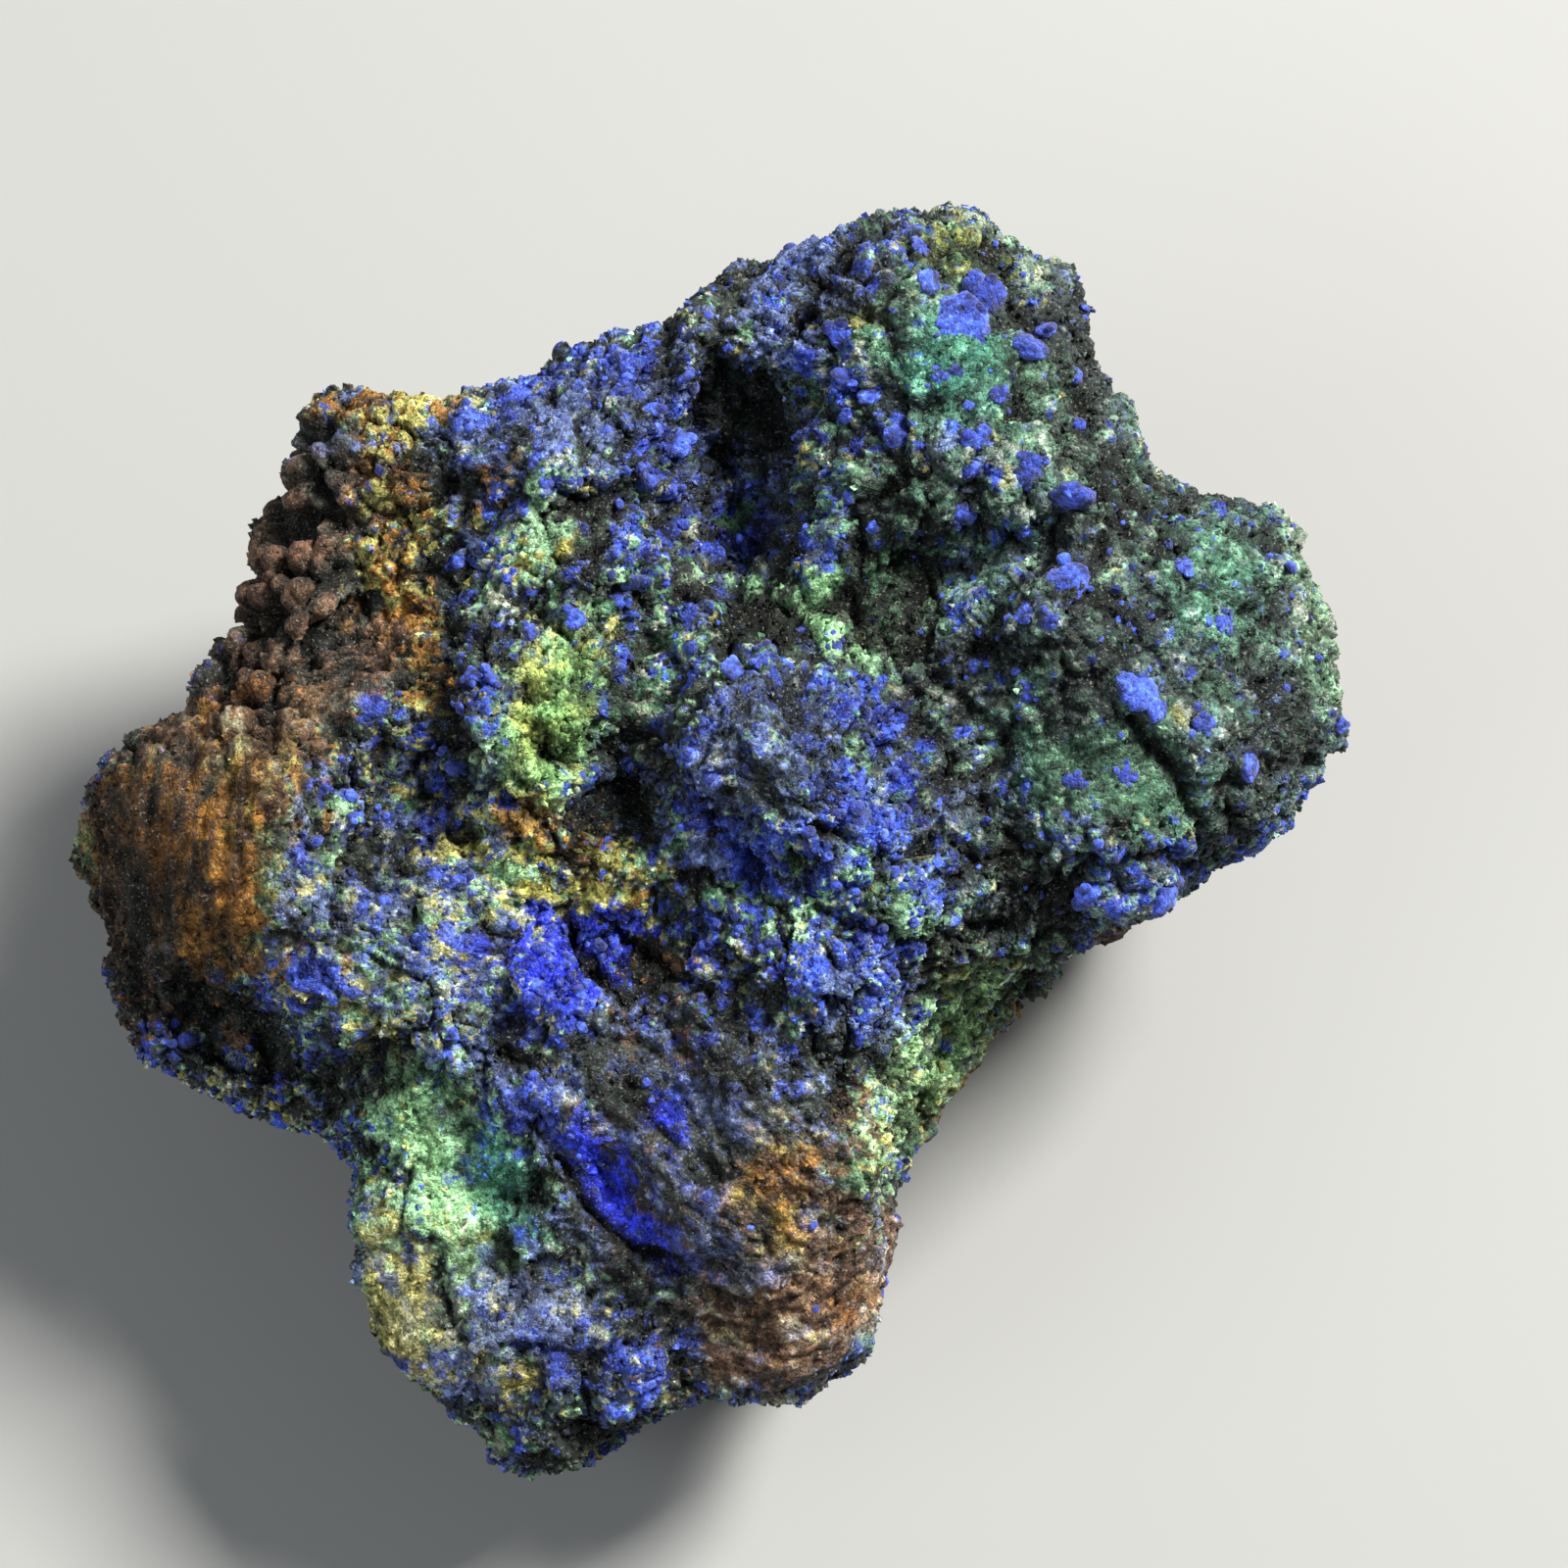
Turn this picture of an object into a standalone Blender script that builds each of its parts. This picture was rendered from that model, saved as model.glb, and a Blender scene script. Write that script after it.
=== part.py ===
"""A hand specimen of azurite and malachite: one knobbly lump of copper ore, lying on its broken back.

The showy face is described in its own plane. There u runs to the right, v runs up and n stands out of the
face, all in millimetres from the face's middle. The lump lies with that plane tipped towards the viewer, so
its far edge stands highest. Everything is one solid, because the minerals grew as crusts on one piece of rock.
"""

import math

import bpy
import numpy as np
from mathutils import Euler

MM = 0.001

# How the face lies above the table
FACE_TILT = math.radians(15)
FACE_HEIGHT = 26.0

# Cells across each of the two sheets, face and back, that meet at the rim
GRID = 50

# Roundness of the edge between face and rim, and between rim and back: 2 is a circle, more is squarer
FACE_EDGE = 3.3
BACK_EDGE = 3.6
MEAN_RADIUS = 27.0
MEAN_FACE_DROP = 10.0
MEAN_BACK_DROP = 17.0

# How much smaller the underside is than the rim, and over how many degrees each way its outline is averaged
BACK_TAPER = 0.12
OUTLINE_SMOOTHING = 16

# The rim, anticlockwise from the upper left corner, as (u, v)
RIM = (
    (-21.0, 20.9), (-21.2, 19.8), (-21.6, 17.9), (-22.8, 16.3), (-22.9, 14.0), (-23.9, 12.0), (-24.0, 10.3),
    (-25.3, 9.3), (-26.1, 8.0), (-26.0, 7.0), (-27.8, 6.1), (-29.7, 5.1), (-31.1, 3.6), (-31.9, 1.8),
    (-32.5, -0.3), (-32.6, -2.0), (-31.6, -3.5), (-31.2, -5.6), (-30.7, -8.0), (-29.7, -10.3), (-28.5, -11.9),
    (-26.2, -12.9), (-24.0, -14.1), (-21.5, -15.3), (-19.6, -15.5), (-18.5, -16.8), (-18.0, -18.6),
    (-18.0, -20.6), (-17.0, -22.8), (-16.4, -24.8), (-15.7, -26.8), (-14.4, -28.4), (-12.6, -30.0),
    (-11.0, -31.7), (-9.8, -32.5), (-7.3, -32.3), (-5.5, -31.5), (-3.6, -30.5), (-2.6, -29.4), (0.0, -29.0),
    (2.3, -29.0), (4.8, -28.6), (7.1, -28.0), (8.4, -26.9), (8.8, -25.1), (9.4, -23.8), (9.9, -22.1),
    (9.7, -20.3), (10.7, -17.9), (11.5, -15.9), (12.6, -13.8), (13.8, -11.8), (15.1, -10.5), (16.9, -9.5),
    (18.4, -8.1), (18.9, -6.8), (20.0, -5.4), (21.4, -4.7), (24.3, -4.4), (24.9, -3.1), (25.7, -2.5),
    (26.9, -1.3), (28.5, -0.6), (29.9, 0.3), (31.6, 2.8), (32.6, 4.6), (32.9, 6.4), (32.3, 7.8), (32.2, 9.5),
    (32.0, 11.6), (31.2, 13.5), (30.5, 15.3), (29.4, 16.5), (27.1, 17.2), (25.0, 17.8), (23.3, 17.8),
    (22.4, 20.3), (21.6, 21.8), (20.5, 23.3), (19.7, 25.0), (19.7, 26.9), (19.3, 28.0), (16.5, 29.4),
    (15.1, 30.2), (14.2, 31.4), (13.3, 32.1), (9.0, 31.9), (7.5, 31.4), (6.3, 30.5), (4.8, 29.7), (3.0, 29.5),
    (1.1, 29.0), (-0.4, 27.4), (-1.8, 26.4), (-4.0, 25.8), (-6.5, 24.9), (-8.8, 23.6), (-11.0, 22.9),
    (-13.0, 22.7), (-17.3, 22.6), (-18.8, 22.4), (-20.1, 21.9),
)

# Height n of the rim at directions round the face, in degrees anticlockwise from u; it dips lower right
RIM_HEIGHT = (
    (0, -9.0), (30, -8.0), (60, -8.0), (90, -8.0), (120, -8.0), (140, -9.0), (165, -8.0), (185, -9.5),
    (215, -9.5), (235, -7.0), (260, -7.5), (285, -8.5), (294, -10.0), (302, -15.0), (320, -16.0),
    (334, -15.0), (344, -11.0),
)

# Swellings of the face: u, v, half length, half width, turn of the length in degrees, height
SWELLINGS = (
    (14.5, 26.0, 8.5, 6.5, -50, 3.6),    # crest of the upper right lobe
    (18.0, 19.5, 6.0, 5.0, -60, 2.0),    # its lower shoulder
    (9.0, 29.0, 4.0, 3.0, 20, 1.5),      # peak at the top
    (11.5, 18.0, 4.0, 3.0, -60, 1.3),    # knob below the lobe
    (24.0, 9.0, 9.5, 7.0, -10, 3.8),     # right lobe
    (25.0, 1.5, 7.0, 5.0, 20, 2.2),      # its lower half
    (16.0, 10.8, 5.0, 2.0, 15, 1.4),     # ridge running in from the right lobe
    (3.0, 4.2, 5.6, 5.2, 0, 5.0),        # boulder in the middle
    (8.0, -1.4, 6.0, 3.6, -45, 2.2),     # its tail
    (-9.2, 5.4, 5.2, 4.6, 70, 2.8),      # block left of the boulder
    (-12.4, 9.8, 3.4, 2.6, 30, 1.2),     # step above that block
    (-24.2, 1.0, 7.2, 6.2, 75, 3.9),     # left lobe
    (-17.5, -6.0, 5.5, 4.2, -30, 2.0),   # shoulder below the left lobe
    (-8.5, 20.2, 8.5, 4.0, 10, 1.8),     # plateau at the upper left
    (-18.6, 20.0, 2.6, 2.2, 0, 1.4),     # corner knob
    (-21.4, 11.5, 3.4, 2.4, 60, 1.6),    # grape-like knob on the left edge
    (1.0, 24.2, 3.5, 3.2, 0, 1.5),       # spur above the deep pit
    (6.5, -7.8, 7.5, 2.8, -35, 2.2),     # ridge below the tail
    (3.5, -16.5, 6.5, 5.5, -20, 2.0),    # lower plateau
    (6.0, -23.2, 4.5, 3.5, 30, 1.2),     # its corner
    (-13.8, -11.5, 4.0, 2.8, -60, 1.2),  # neck above the green patch
    (-9.0, -25.4, 4.5, 4.2, 0, 1.0),     # bottom lobe
    (20.8, -1.6, 4.5, 2.8, 10, 1.5),     # knob above the undercut
    (-7.0, 13.4, 4.0, 2.4, 0, 1.0),      # hump in the upper left slope
)

# Hollows of the face, in the same terms, with a depth
HOLLOWS = (
    (1.4, 18.4, 5.4, 3.2, 78, 8.0),      # deep pit
    (3.0, 15.4, 3.4, 2.2, 20, 3.0),      # its lower mouth
    (14.0, 13.3, 4.2, 1.2, 15, 2.4),     # slot between the right lobe and the upper one
    (7.5, 11.0, 6.5, 3.2, 10, 1.8),      # green valley
    (-3.2, 5.6, 5.2, 1.6, 80, 3.2),      # gully left of the boulder
    (-0.5, 11.4, 4.0, 2.0, 0, 1.3),      # saddle above the boulder
    (-16.4, 10.4, 2.4, 2.0, 20, 2.2),    # ochre pocket
    (-19.0, 8.0, 3.0, 1.6, -20, 1.4),    # gutter below the grape-like knobs
    (-23.5, -9.8, 4.6, 1.9, -22, 4.6),   # cave under the left lobe
    (-13.4, 1.0, 2.2, 1.8, 0, 1.2),      # pocket
    (-4.8, -5.0, 4.5, 2.2, -10, 1.6),    # hollow of deep blue
    (-4.7, -17.2, 5.4, 1.2, -55, 2.6),   # cleft
    (-0.9, -13.0, 3.0, 1.1, -60, 1.0),   # short cleft beside it
    (-12.2, -15.5, 5.0, 2.6, -70, 1.5),  # malachite hollow
    (-7.2, -22.5, 3.2, 1.6, -80, 1.2),   # crease below the cleft
    (23.6, 1.5, 4.0, 1.1, -60, 1.2),     # crack in the right lobe
    (12.8, -3.3, 4.0, 1.8, -50, 1.2),    # fold between the tail and the right lobe
)

# The undercut at the lower right: the face ends early at these (degrees, radius) and steps down
UNDERCUT = (
    (289, 40.0), (296, 20.6), (304, 18.3), (312, 17.4), (320, 15.6), (328, 15.8), (336, 17.6), (345, 40.0),
)
UNDERCUT_DROP = 7.5
UNDERCUT_WIDTH = 1.3

# Broken facets of the sides, which start at the rim: the way each faces, in degrees round and below level
FACETS = (
    (-100, 20), (-52, 34), (-12, 28), (28, 20), (64, 26), (104, 18), (150, 26), (178, 30), (214, 20),
    (240, 34),
)
FACET_REACH = 24

# Roughness of the rock: the size of its lumps, how far they stand out, and the seed. Pillows have creases
SWELLS = (8.0, 0.8, 11)
PILLOWS = ((5.6, 1.4, 23), (3.2, 1.1, 37))
CREASE_DEPTH = 0.35
RIM_CALM = 0.6
RIM_REACH = 7
GRAIN_TURN = (0.61, 0.83, 0.47)
UNDERSIDE_HOLLOW = 1.6
UNDERSIDE_LUMP = 15.0
UNDERSIDE_FLATTENED = 1.5

ROCK_COLOUR = (0.055, 0.075, 0.16, 1.0)
ROCK_ROUGHNESS = 0.75


def clear_scene():
    for thing in list(bpy.data.objects):
        bpy.data.objects.remove(thing, do_unlink=True)


def lattice_value(cell, seed):
    """A fixed random value from -1 to 1 for each whole-numbered cell of a cubic lattice."""
    mixed = cell[:, 0] * 73856093 ^ cell[:, 1] * 19349663 ^ cell[:, 2] * 83492791 ^ seed * 50331653
    mixed = (mixed ^ (mixed >> 13)) * 1274126177
    mixed = (mixed ^ (mixed >> 15)) & 0xFFFF
    return mixed / 32767.5 - 1.0


def lumpy(points, size, seed):
    """Smooth noise, -1 to 1: values on a turned lattice `size` apart, blended on each axis by 3f^2 - 2f^3."""
    scaled = points @ np.array(Euler(GRAIN_TURN).to_matrix()) / size
    cell = np.floor(scaled).astype(np.int64)
    share = scaled - cell
    share = share * share * (3.0 - 2.0 * share)
    total = np.zeros(len(points))
    for corner in np.ndindex(2, 2, 2):
        weight = np.prod(np.where(corner, share, 1.0 - share), axis=1)
        total += weight * lattice_value(cell + np.array(corner), seed)
    return total


def round_the_rim(angles, table):
    """Values of a (degrees, value) table at any angles in radians, joined by straight runs."""
    degrees, values = np.array(table, float).T
    return np.interp(np.degrees(angles) % 360.0, degrees, values, period=360.0)


def rim_radius(angles):
    """Distance of the rim from the face's middle, from its corner points in polar form."""
    u, v = np.array(RIM).T
    return np.interp(angles % math.tau, np.arctan2(v, u) % math.tau, np.hypot(u, v), period=math.tau)


def plain_radius(angles):
    """The rim's radius averaged over OUTLINE_SMOOTHING degrees each way: the outline of bottom and middle."""
    offsets = np.radians(np.linspace(-OUTLINE_SMOOTHING, OUTLINE_SMOOTHING, 17))
    return np.mean([rim_radius(angles + offset) for offset in offsets], axis=0)


def swelling(u, v, form):
    """A flattish dome: height * exp(-q^1.6), where q is the squared distance in its half length and width."""
    middle_u, middle_v, half_length, half_width, turn, height = form
    c, s = math.cos(math.radians(turn)), math.sin(math.radians(turn))
    along = ((u - middle_u) * c + (v - middle_v) * s) / half_length
    across = ((v - middle_v) * c - (u - middle_u) * s) / half_width
    return height * np.exp(-((along**2 + across**2) ** 1.6))


def face_height(u, v):
    """Height n of the face: a low crown, the swellings less the hollows, and the step at the undercut."""
    height = 2.2 * (1.0 - (u**2 + v**2) / MEAN_RADIUS**2) - 0.05 * np.maximum(v - u, 0.0)
    height += sum(swelling(u, v, form) for form in SWELLINGS)
    height -= sum(swelling(u, v, form) for form in HOLLOWS)
    past = (np.hypot(u, v) - round_the_rim(np.arctan2(v, u), UNDERCUT)) / UNDERCUT_WIDTH
    return height - UNDERCUT_DROP / (1.0 + np.exp(-2.5 * np.clip(past, -8.0, 8.0)))


def edge_profile(share, squareness, width, drop):
    """A quarter of a superellipse, x^k + y^k = 1, in steps of even length: x for the radius, y for height."""
    turn = np.linspace(0.0, math.pi / 2, 400)
    x = np.sin(turn) ** (2.0 / squareness)
    y = np.cos(turn) ** (2.0 / squareness)
    length = np.concatenate([[0.0], np.cumsum(np.hypot(np.diff(x) * width, np.diff(y) * drop))])
    wanted = share * length[-1]
    return np.interp(wanted, length, x), np.interp(wanted, length, y)


def disc_grid(cells):
    """A square grid bowed to a disc: (a, b) goes to (a sqrt(1 - b^2/2), b sqrt(1 - a^2/2)), in polar form."""
    steps = np.linspace(-1.0, 1.0, cells + 1)
    a, b = (grid.ravel() for grid in np.meshgrid(steps, steps, indexing="ij"))
    x, y = a * np.sqrt(1.0 - b**2 / 2), b * np.sqrt(1.0 - a**2 / 2)
    return np.hypot(x, y), np.arctan2(y, x)


def to_table(u, v, n):
    """Face coordinates to the table's: tipped about the u axis and raised to FACE_HEIGHT."""
    c, s = math.cos(FACE_TILT), math.sin(FACE_TILT)
    return np.column_stack([u, v * c - n * s, FACE_HEIGHT + v * s + n * c])


def face_sheet(ring, angle):
    """The showy side, from its middle out to the rim."""
    x, y = edge_profile(ring, FACE_EDGE, MEAN_RADIUS, MEAN_FACE_DROP)
    near_rim = x**4
    radius = x * (plain_radius(angle) * (1.0 - near_rim) + rim_radius(angle) * near_rim)
    u, v = radius * np.cos(angle), radius * np.sin(angle)
    rim = round_the_rim(angle, RIM_HEIGHT)
    return to_table(u, v, rim + (face_height(u, v) - rim) * y)


def back_sheet(ring, angle):
    """The sides and underside: from the rim down and inwards to the table, with a hollowed, uneven bottom."""
    x, y = edge_profile(ring, BACK_EDGE, MEAN_RADIUS, MEAN_BACK_DROP)
    outline = rim_radius(angle) * (1.0 - y) + plain_radius(angle) * (1.0 - BACK_TAPER) * y
    radius = outline * x
    u, v = radius * np.cos(angle), radius * np.sin(angle)
    rim = to_table(u, v, round_the_rim(angle, RIM_HEIGHT))
    flat = rim * (1.0, 1.0, 0.0)
    bottom = UNDERSIDE_HOLLOW * lumpy(flat, UNDERSIDE_LUMP, 5) - UNDERSIDE_FLATTENED
    return np.column_stack([rim[:, 0], rim[:, 1], rim[:, 2] * (1.0 - y) + bottom * y])


def both_sheets():
    """Points and quads of face and back, which share the rim, and the ring and angle of each grid point."""
    ring, angle = disc_grid(GRID)
    face, back = face_sheet(ring, angle), back_sheet(ring, angle)
    inside = ring < 1.0 - 1e-9
    back_number = np.arange(len(ring))
    back_number[inside] = len(ring) + np.arange(inside.sum())
    corner = np.arange(len(ring)).reshape(GRID + 1, GRID + 1)
    quads = [grid.ravel() for grid in (corner[:-1, :-1], corner[1:, :-1], corner[1:, 1:], corner[:-1, 1:])]
    face_quads = np.column_stack(quads)
    quads = np.vstack([face_quads, back_number[face_quads[:, ::-1]]])
    return np.vstack([face, back[inside]]), quads, np.concatenate([ring, ring[inside]]), angle


def point_normals(points, quads):
    """The outward direction at each point: the summed crosses of its quads' diagonals."""
    a, b, c, d = points[quads].transpose(1, 0, 2)
    cross = np.cross(c - a, d - b)
    normals = np.zeros_like(points)
    for corner in quads.T:
        np.add.at(normals, corner, cross)
    return normals / np.linalg.norm(normals, axis=1, keepdims=True)


def break_facets(points, rim, rim_angle):
    """Shaves the sides to planes that each start at the outermost rim point of their stretch."""
    for facet in FACETS:
        heading, below = np.radians(facet)
        level = math.cos(below)
        facing = np.array([math.cos(heading) * level, math.sin(heading) * level, -math.sin(below)])
        near = np.cos(rim_angle - heading) > math.cos(math.radians(FACET_REACH))
        outside = np.maximum(points @ facing - (rim[near] @ facing).max(), 0.0)
        points = points - outside[:, None] * facing
    return points


def rock_push(points, ring):
    """How far each point stands out: a broad swell, and pillows made from |noise|, creased where it is 0."""
    size, height, seed = SWELLS
    push = height * lumpy(points, size, seed)
    for size, height, seed in PILLOWS:
        push += height * (np.abs(lumpy(points, size, seed)) - CREASE_DEPTH)
    return push * (1.0 - RIM_CALM * ring**RIM_REACH)


def triangles(points, quads):
    """Each quad split along its shorter diagonal."""
    a, b, c, d = points[quads].transpose(1, 0, 2)
    first = np.linalg.norm(c - a, axis=1) < np.linalg.norm(d - b, axis=1)
    one, other = quads[first], quads[~first]
    return np.vstack([one[:, [0, 1, 2]], one[:, [0, 2, 3]], other[:, [0, 1, 3]], other[:, [1, 2, 3]]])


def lump_mesh():
    """The rough lump, standing on its flattened underside, centred over the origin."""
    points, quads, ring, angle = both_sheets()
    rim = np.flatnonzero(ring > 1.0 - 1e-9)
    points = break_facets(points, points[rim], angle[rim])
    points = points + point_normals(points, quads) * rock_push(points, ring)[:, None]
    points[:, 2] = np.maximum(points[:, 2], 0.0)
    points[:, :2] -= (points[:, :2].max(axis=0) + points[:, :2].min(axis=0)) / 2
    mesh = bpy.data.meshes.new("specimen")
    mesh.from_pydata(points * MM, [], triangles(points, quads))
    return mesh


def rock_material():
    material = bpy.data.materials.new("copper_ore")
    material.use_nodes = True
    shader = material.node_tree.nodes["Principled BSDF"]
    shader.inputs["Base Color"].default_value = ROCK_COLOUR
    shader.inputs["Roughness"].default_value = ROCK_ROUGHNESS
    shader.inputs["Metallic"].default_value = 0.0
    return material


clear_scene()
lump = lump_mesh()
lump.materials.append(rock_material())
bpy.context.scene.collection.objects.link(bpy.data.objects.new("specimen", lump))
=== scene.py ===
"""An azurite and malachite hand specimen, laid on its broken back with its blue and green face up.

The solid gives the lump. Here it gets its crust: knobbly relief, the colour of each mineral where it grew,
blue azurite balls and some tens of thousands of angular grains. Lengths are in millimetres until a mesh is
made.
"""

import math

import bmesh
import bpy
import numpy as np
from mathutils import Euler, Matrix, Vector


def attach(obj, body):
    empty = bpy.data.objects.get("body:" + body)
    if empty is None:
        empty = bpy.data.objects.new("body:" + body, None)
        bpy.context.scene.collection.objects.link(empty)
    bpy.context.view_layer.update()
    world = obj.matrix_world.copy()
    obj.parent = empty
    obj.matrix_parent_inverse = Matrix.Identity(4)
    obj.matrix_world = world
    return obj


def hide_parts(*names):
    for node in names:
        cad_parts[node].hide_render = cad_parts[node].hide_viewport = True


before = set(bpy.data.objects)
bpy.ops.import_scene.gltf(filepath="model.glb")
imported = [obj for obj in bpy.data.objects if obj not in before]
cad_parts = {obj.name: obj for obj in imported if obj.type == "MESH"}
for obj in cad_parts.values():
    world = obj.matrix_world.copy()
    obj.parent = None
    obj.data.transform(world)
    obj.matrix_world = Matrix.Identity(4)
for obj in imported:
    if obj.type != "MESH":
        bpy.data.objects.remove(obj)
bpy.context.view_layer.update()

# The face that the specimen shows leans back from the table. Places on it are given as u to the right, v up
# the face and n out of it, from the face's middle, which lies here above the table.
MM = 0.001
FACE_MIDDLE = (-0.158, -1.341, 26.0)
FACE_TILT = math.radians(15)


def from_face(u, v, n):
    """Face places to the table's: v and n are turned by the tilt about the u axis, then all three are moved
    to the face's middle."""
    c, s = math.cos(FACE_TILT), math.sin(FACE_TILT)
    x, y, z = FACE_MIDDLE
    return np.stack([x + u, y + v * c - n * s, z + v * s + n * c], axis=-1)


def to_face(points):
    """The way back: u, v and n of points above the table."""
    c, s = math.cos(FACE_TILT), math.sin(FACE_TILT)
    x, y, z = (points - FACE_MIDDLE).T
    return x, y * c + z * s, z * c - y * s


# The floor is a plain board of pale matt card, wide enough to fill the picture. It isn't part of the object.
FLOOR_HALF = 900.0
FLOOR_COLOUR = (0.335, 0.34, 0.335, 1.0)
CARD_ROUGHNESS, CARD_SHINE = 0.85, 0.2

floor_mesh = bpy.data.meshes.new("floor")
corners = [(x * FLOOR_HALF * MM, y * FLOOR_HALF * MM, 0.0) for x, y in ((-1, -1), (1, -1), (1, 1), (-1, 1))]
floor_mesh.from_pydata(corners, [], [(0, 1, 2, 3)])
floor = bpy.data.objects.new("floor", floor_mesh)
bpy.context.scene.collection.objects.link(floor)
card = bpy.data.materials.new("matt_card")
card.use_nodes = True
card_shader = card.node_tree.nodes["Principled BSDF"]
card_shader.inputs["Base Color"].default_value = FLOOR_COLOUR
card_shader.inputs["Roughness"].default_value = CARD_ROUGHNESS
card_shader.inputs["Specular IOR Level"].default_value = CARD_SHINE
floor_mesh.materials.append(card)

# The camera looks square on to the face, as the photograph does, so it looks steeply down at the table. It
# aims at a place given as u, v and n.
AIM = (4.0, 2.5, -7.0)
CAMERA_DISTANCE = 380.0
PICTURE_WIDTH = 80.0
SENSOR = 36.0

camera = bpy.data.objects.new("camera", bpy.data.cameras.new("camera"))
camera.data.sensor_width = SENSOR
camera.data.lens = SENSOR * CAMERA_DISTANCE / PICTURE_WIDTH
camera.location = Vector(from_face(AIM[0], AIM[1], AIM[2] + CAMERA_DISTANCE)) * MM
camera.rotation_euler = (FACE_TILT, 0.0, 0.0)
camera.data.clip_start = 0.01
bpy.context.scene.collection.objects.link(camera)
bpy.context.scene.camera = camera

# A window-like key light stands to the upper right, a broad weak one to the left, and a pale sky fills the
# rest.
KEY_FROM = (0.56, 0.40, 0.73)
KEY_DISTANCE, KEY_WIDTH, KEY_POWER = 700.0, 200.0, 13.0
KEY_COLOUR = (1.0, 0.97, 0.92)
FILL_FROM = (-0.75, -0.30, 0.60)
FILL_DISTANCE, FILL_WIDTH, FILL_POWER = 800.0, 500.0, 2.5
FILL_COLOUR = (0.94, 0.97, 1.0)
SKY_COLOUR, SKY_STRENGTH = (0.92, 0.96, 1.0, 1.0), 0.21


def lamp(name, towards, distance, width, power, colour):
    """A square lamp `distance` from the specimen along a direction, facing it."""
    light = bpy.data.lights.new(name, "AREA")
    light.size, light.energy, light.color = width * MM, power, colour
    direction = Vector(towards).normalized()
    holder = bpy.data.objects.new(name, light)
    holder.location = direction * distance * MM + Vector(FACE_MIDDLE) * MM
    holder.rotation_euler = (-direction).to_track_quat("-Z", "Y").to_euler()
    bpy.context.scene.collection.objects.link(holder)


lamp("key_light", KEY_FROM, KEY_DISTANCE, KEY_WIDTH, KEY_POWER, KEY_COLOUR)
lamp("fill_light", FILL_FROM, FILL_DISTANCE, FILL_WIDTH, FILL_POWER, FILL_COLOUR)
sky = bpy.data.worlds.new("sky")
sky.use_nodes = True
sky.node_tree.nodes["Background"].inputs["Color"].default_value = SKY_COLOUR
sky.node_tree.nodes["Background"].inputs["Strength"].default_value = SKY_STRENGTH
bpy.context.scene.world = sky
bpy.context.scene.view_settings.view_transform = "Standard"

# The crust is the rock's whole skin: the solid's surface made finer, and finest where it shows, with the
# small relief that the solid leaves out. Each mineral's part in it is painted as patches on the face, and in
# clouds on the sides and the back. It rides as three pieces, parted down the middle and behind the face.

# FINER is how often the solid's faces are split. Those with n above FINEST_ABOVE are split once more.
FINER = 2
FINEST_ABOVE = -12.0
MIDDLE_SEAM = -2.2
GRAIN_TURN = (0.61, 0.83, 0.47)


def soft_step(value, middle, width):
    """0 well below the middle and 1 well above it: 1 / (1 + exp((middle - value) / width))."""
    return 1.0 / (1.0 + np.exp((middle - value) / width))


def on_face(n):
    """0 on the back and 1 on the face, with a soft step FINEST_ABOVE from the face's middle."""
    return soft_step(n, FINEST_ABOVE, 1.5)


def fixed_chance(cell, seed):
    """A number from 0 to 1 for each whole-numbered lattice cell, always the same: its three places and the
    seed are multiplied by large odd numbers, folded together with exclusive-or, and stirred twice."""
    mixed = cell[:, 0] * 73856093 ^ cell[:, 1] * 19349663 ^ cell[:, 2] * 83492791 ^ seed * 50331653
    mixed = (mixed ^ (mixed >> 13)) * 1274126177
    mixed = ((mixed ^ (mixed >> 15)) * 668265263) & 0x7FFFFFFF
    return (mixed >> 7) / float(1 << 24)


def on_lattice(points, size):
    """Points in steps of `size` on the turned lattice, and the cell that each one is in."""
    scaled = points @ np.array(Euler(GRAIN_TURN).to_matrix()) / size
    return scaled, np.floor(scaled).astype(np.int64)


def cloud(points, size, seed):
    """Smooth noise from -1 to 1: chances on a lattice `size` apart, blended along each axis by the curve
    3f^2 - 2f^3."""
    scaled, cell = on_lattice(points, size)
    share = scaled - cell
    share = share * share * (3.0 - 2.0 * share)
    total = np.zeros(len(points))
    for corner in np.ndindex(2, 2, 2):
        weight = np.prod(np.where(corner, share, 1.0 - share), axis=1)
        total += weight * (2.0 * fixed_chance(cell + np.array(corner), seed) - 1.0)
    return total


def nearest_lump(points, size, seed):
    """For each point the nearest of one random middle in each lattice cell: the way from it and the cell,
    both in steps of `size`, and how much farther the second nearest is."""
    scaled, cell = on_lattice(points, size)
    nearest = np.full(len(points), 9.0)
    second = nearest.copy()
    away, home = np.zeros_like(scaled), cell.copy()
    for step in np.ndindex(3, 3, 3):
        other = cell + np.array(step) - 1
        apart = scaled - other - np.stack([fixed_chance(other, seed + axis) for axis in (0, 1, 2)], axis=1)
        distance = (apart**2).sum(axis=1)
        closer = distance < nearest
        second = np.where(closer, nearest, np.minimum(second, distance))
        nearest = np.where(closer, distance, nearest)
        away[closer], home[closer] = apart[closer], other[closer]
    return away, home, np.sqrt(second) - np.sqrt(nearest)


def knobs(points, size, seed, reach=0.72):
    """Height, -0.6 to 0.4, of round knobs packed about `size` apart: sqrt(1 - d^2) - 0.6, where d is the
    distance from a knob's middle in `reach` sizes."""
    away = nearest_lump(points, size, seed)[0]
    return np.sqrt(np.maximum(0.0, 1.0 - (away**2).sum(axis=1) / reach**2)) - 0.6


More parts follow.
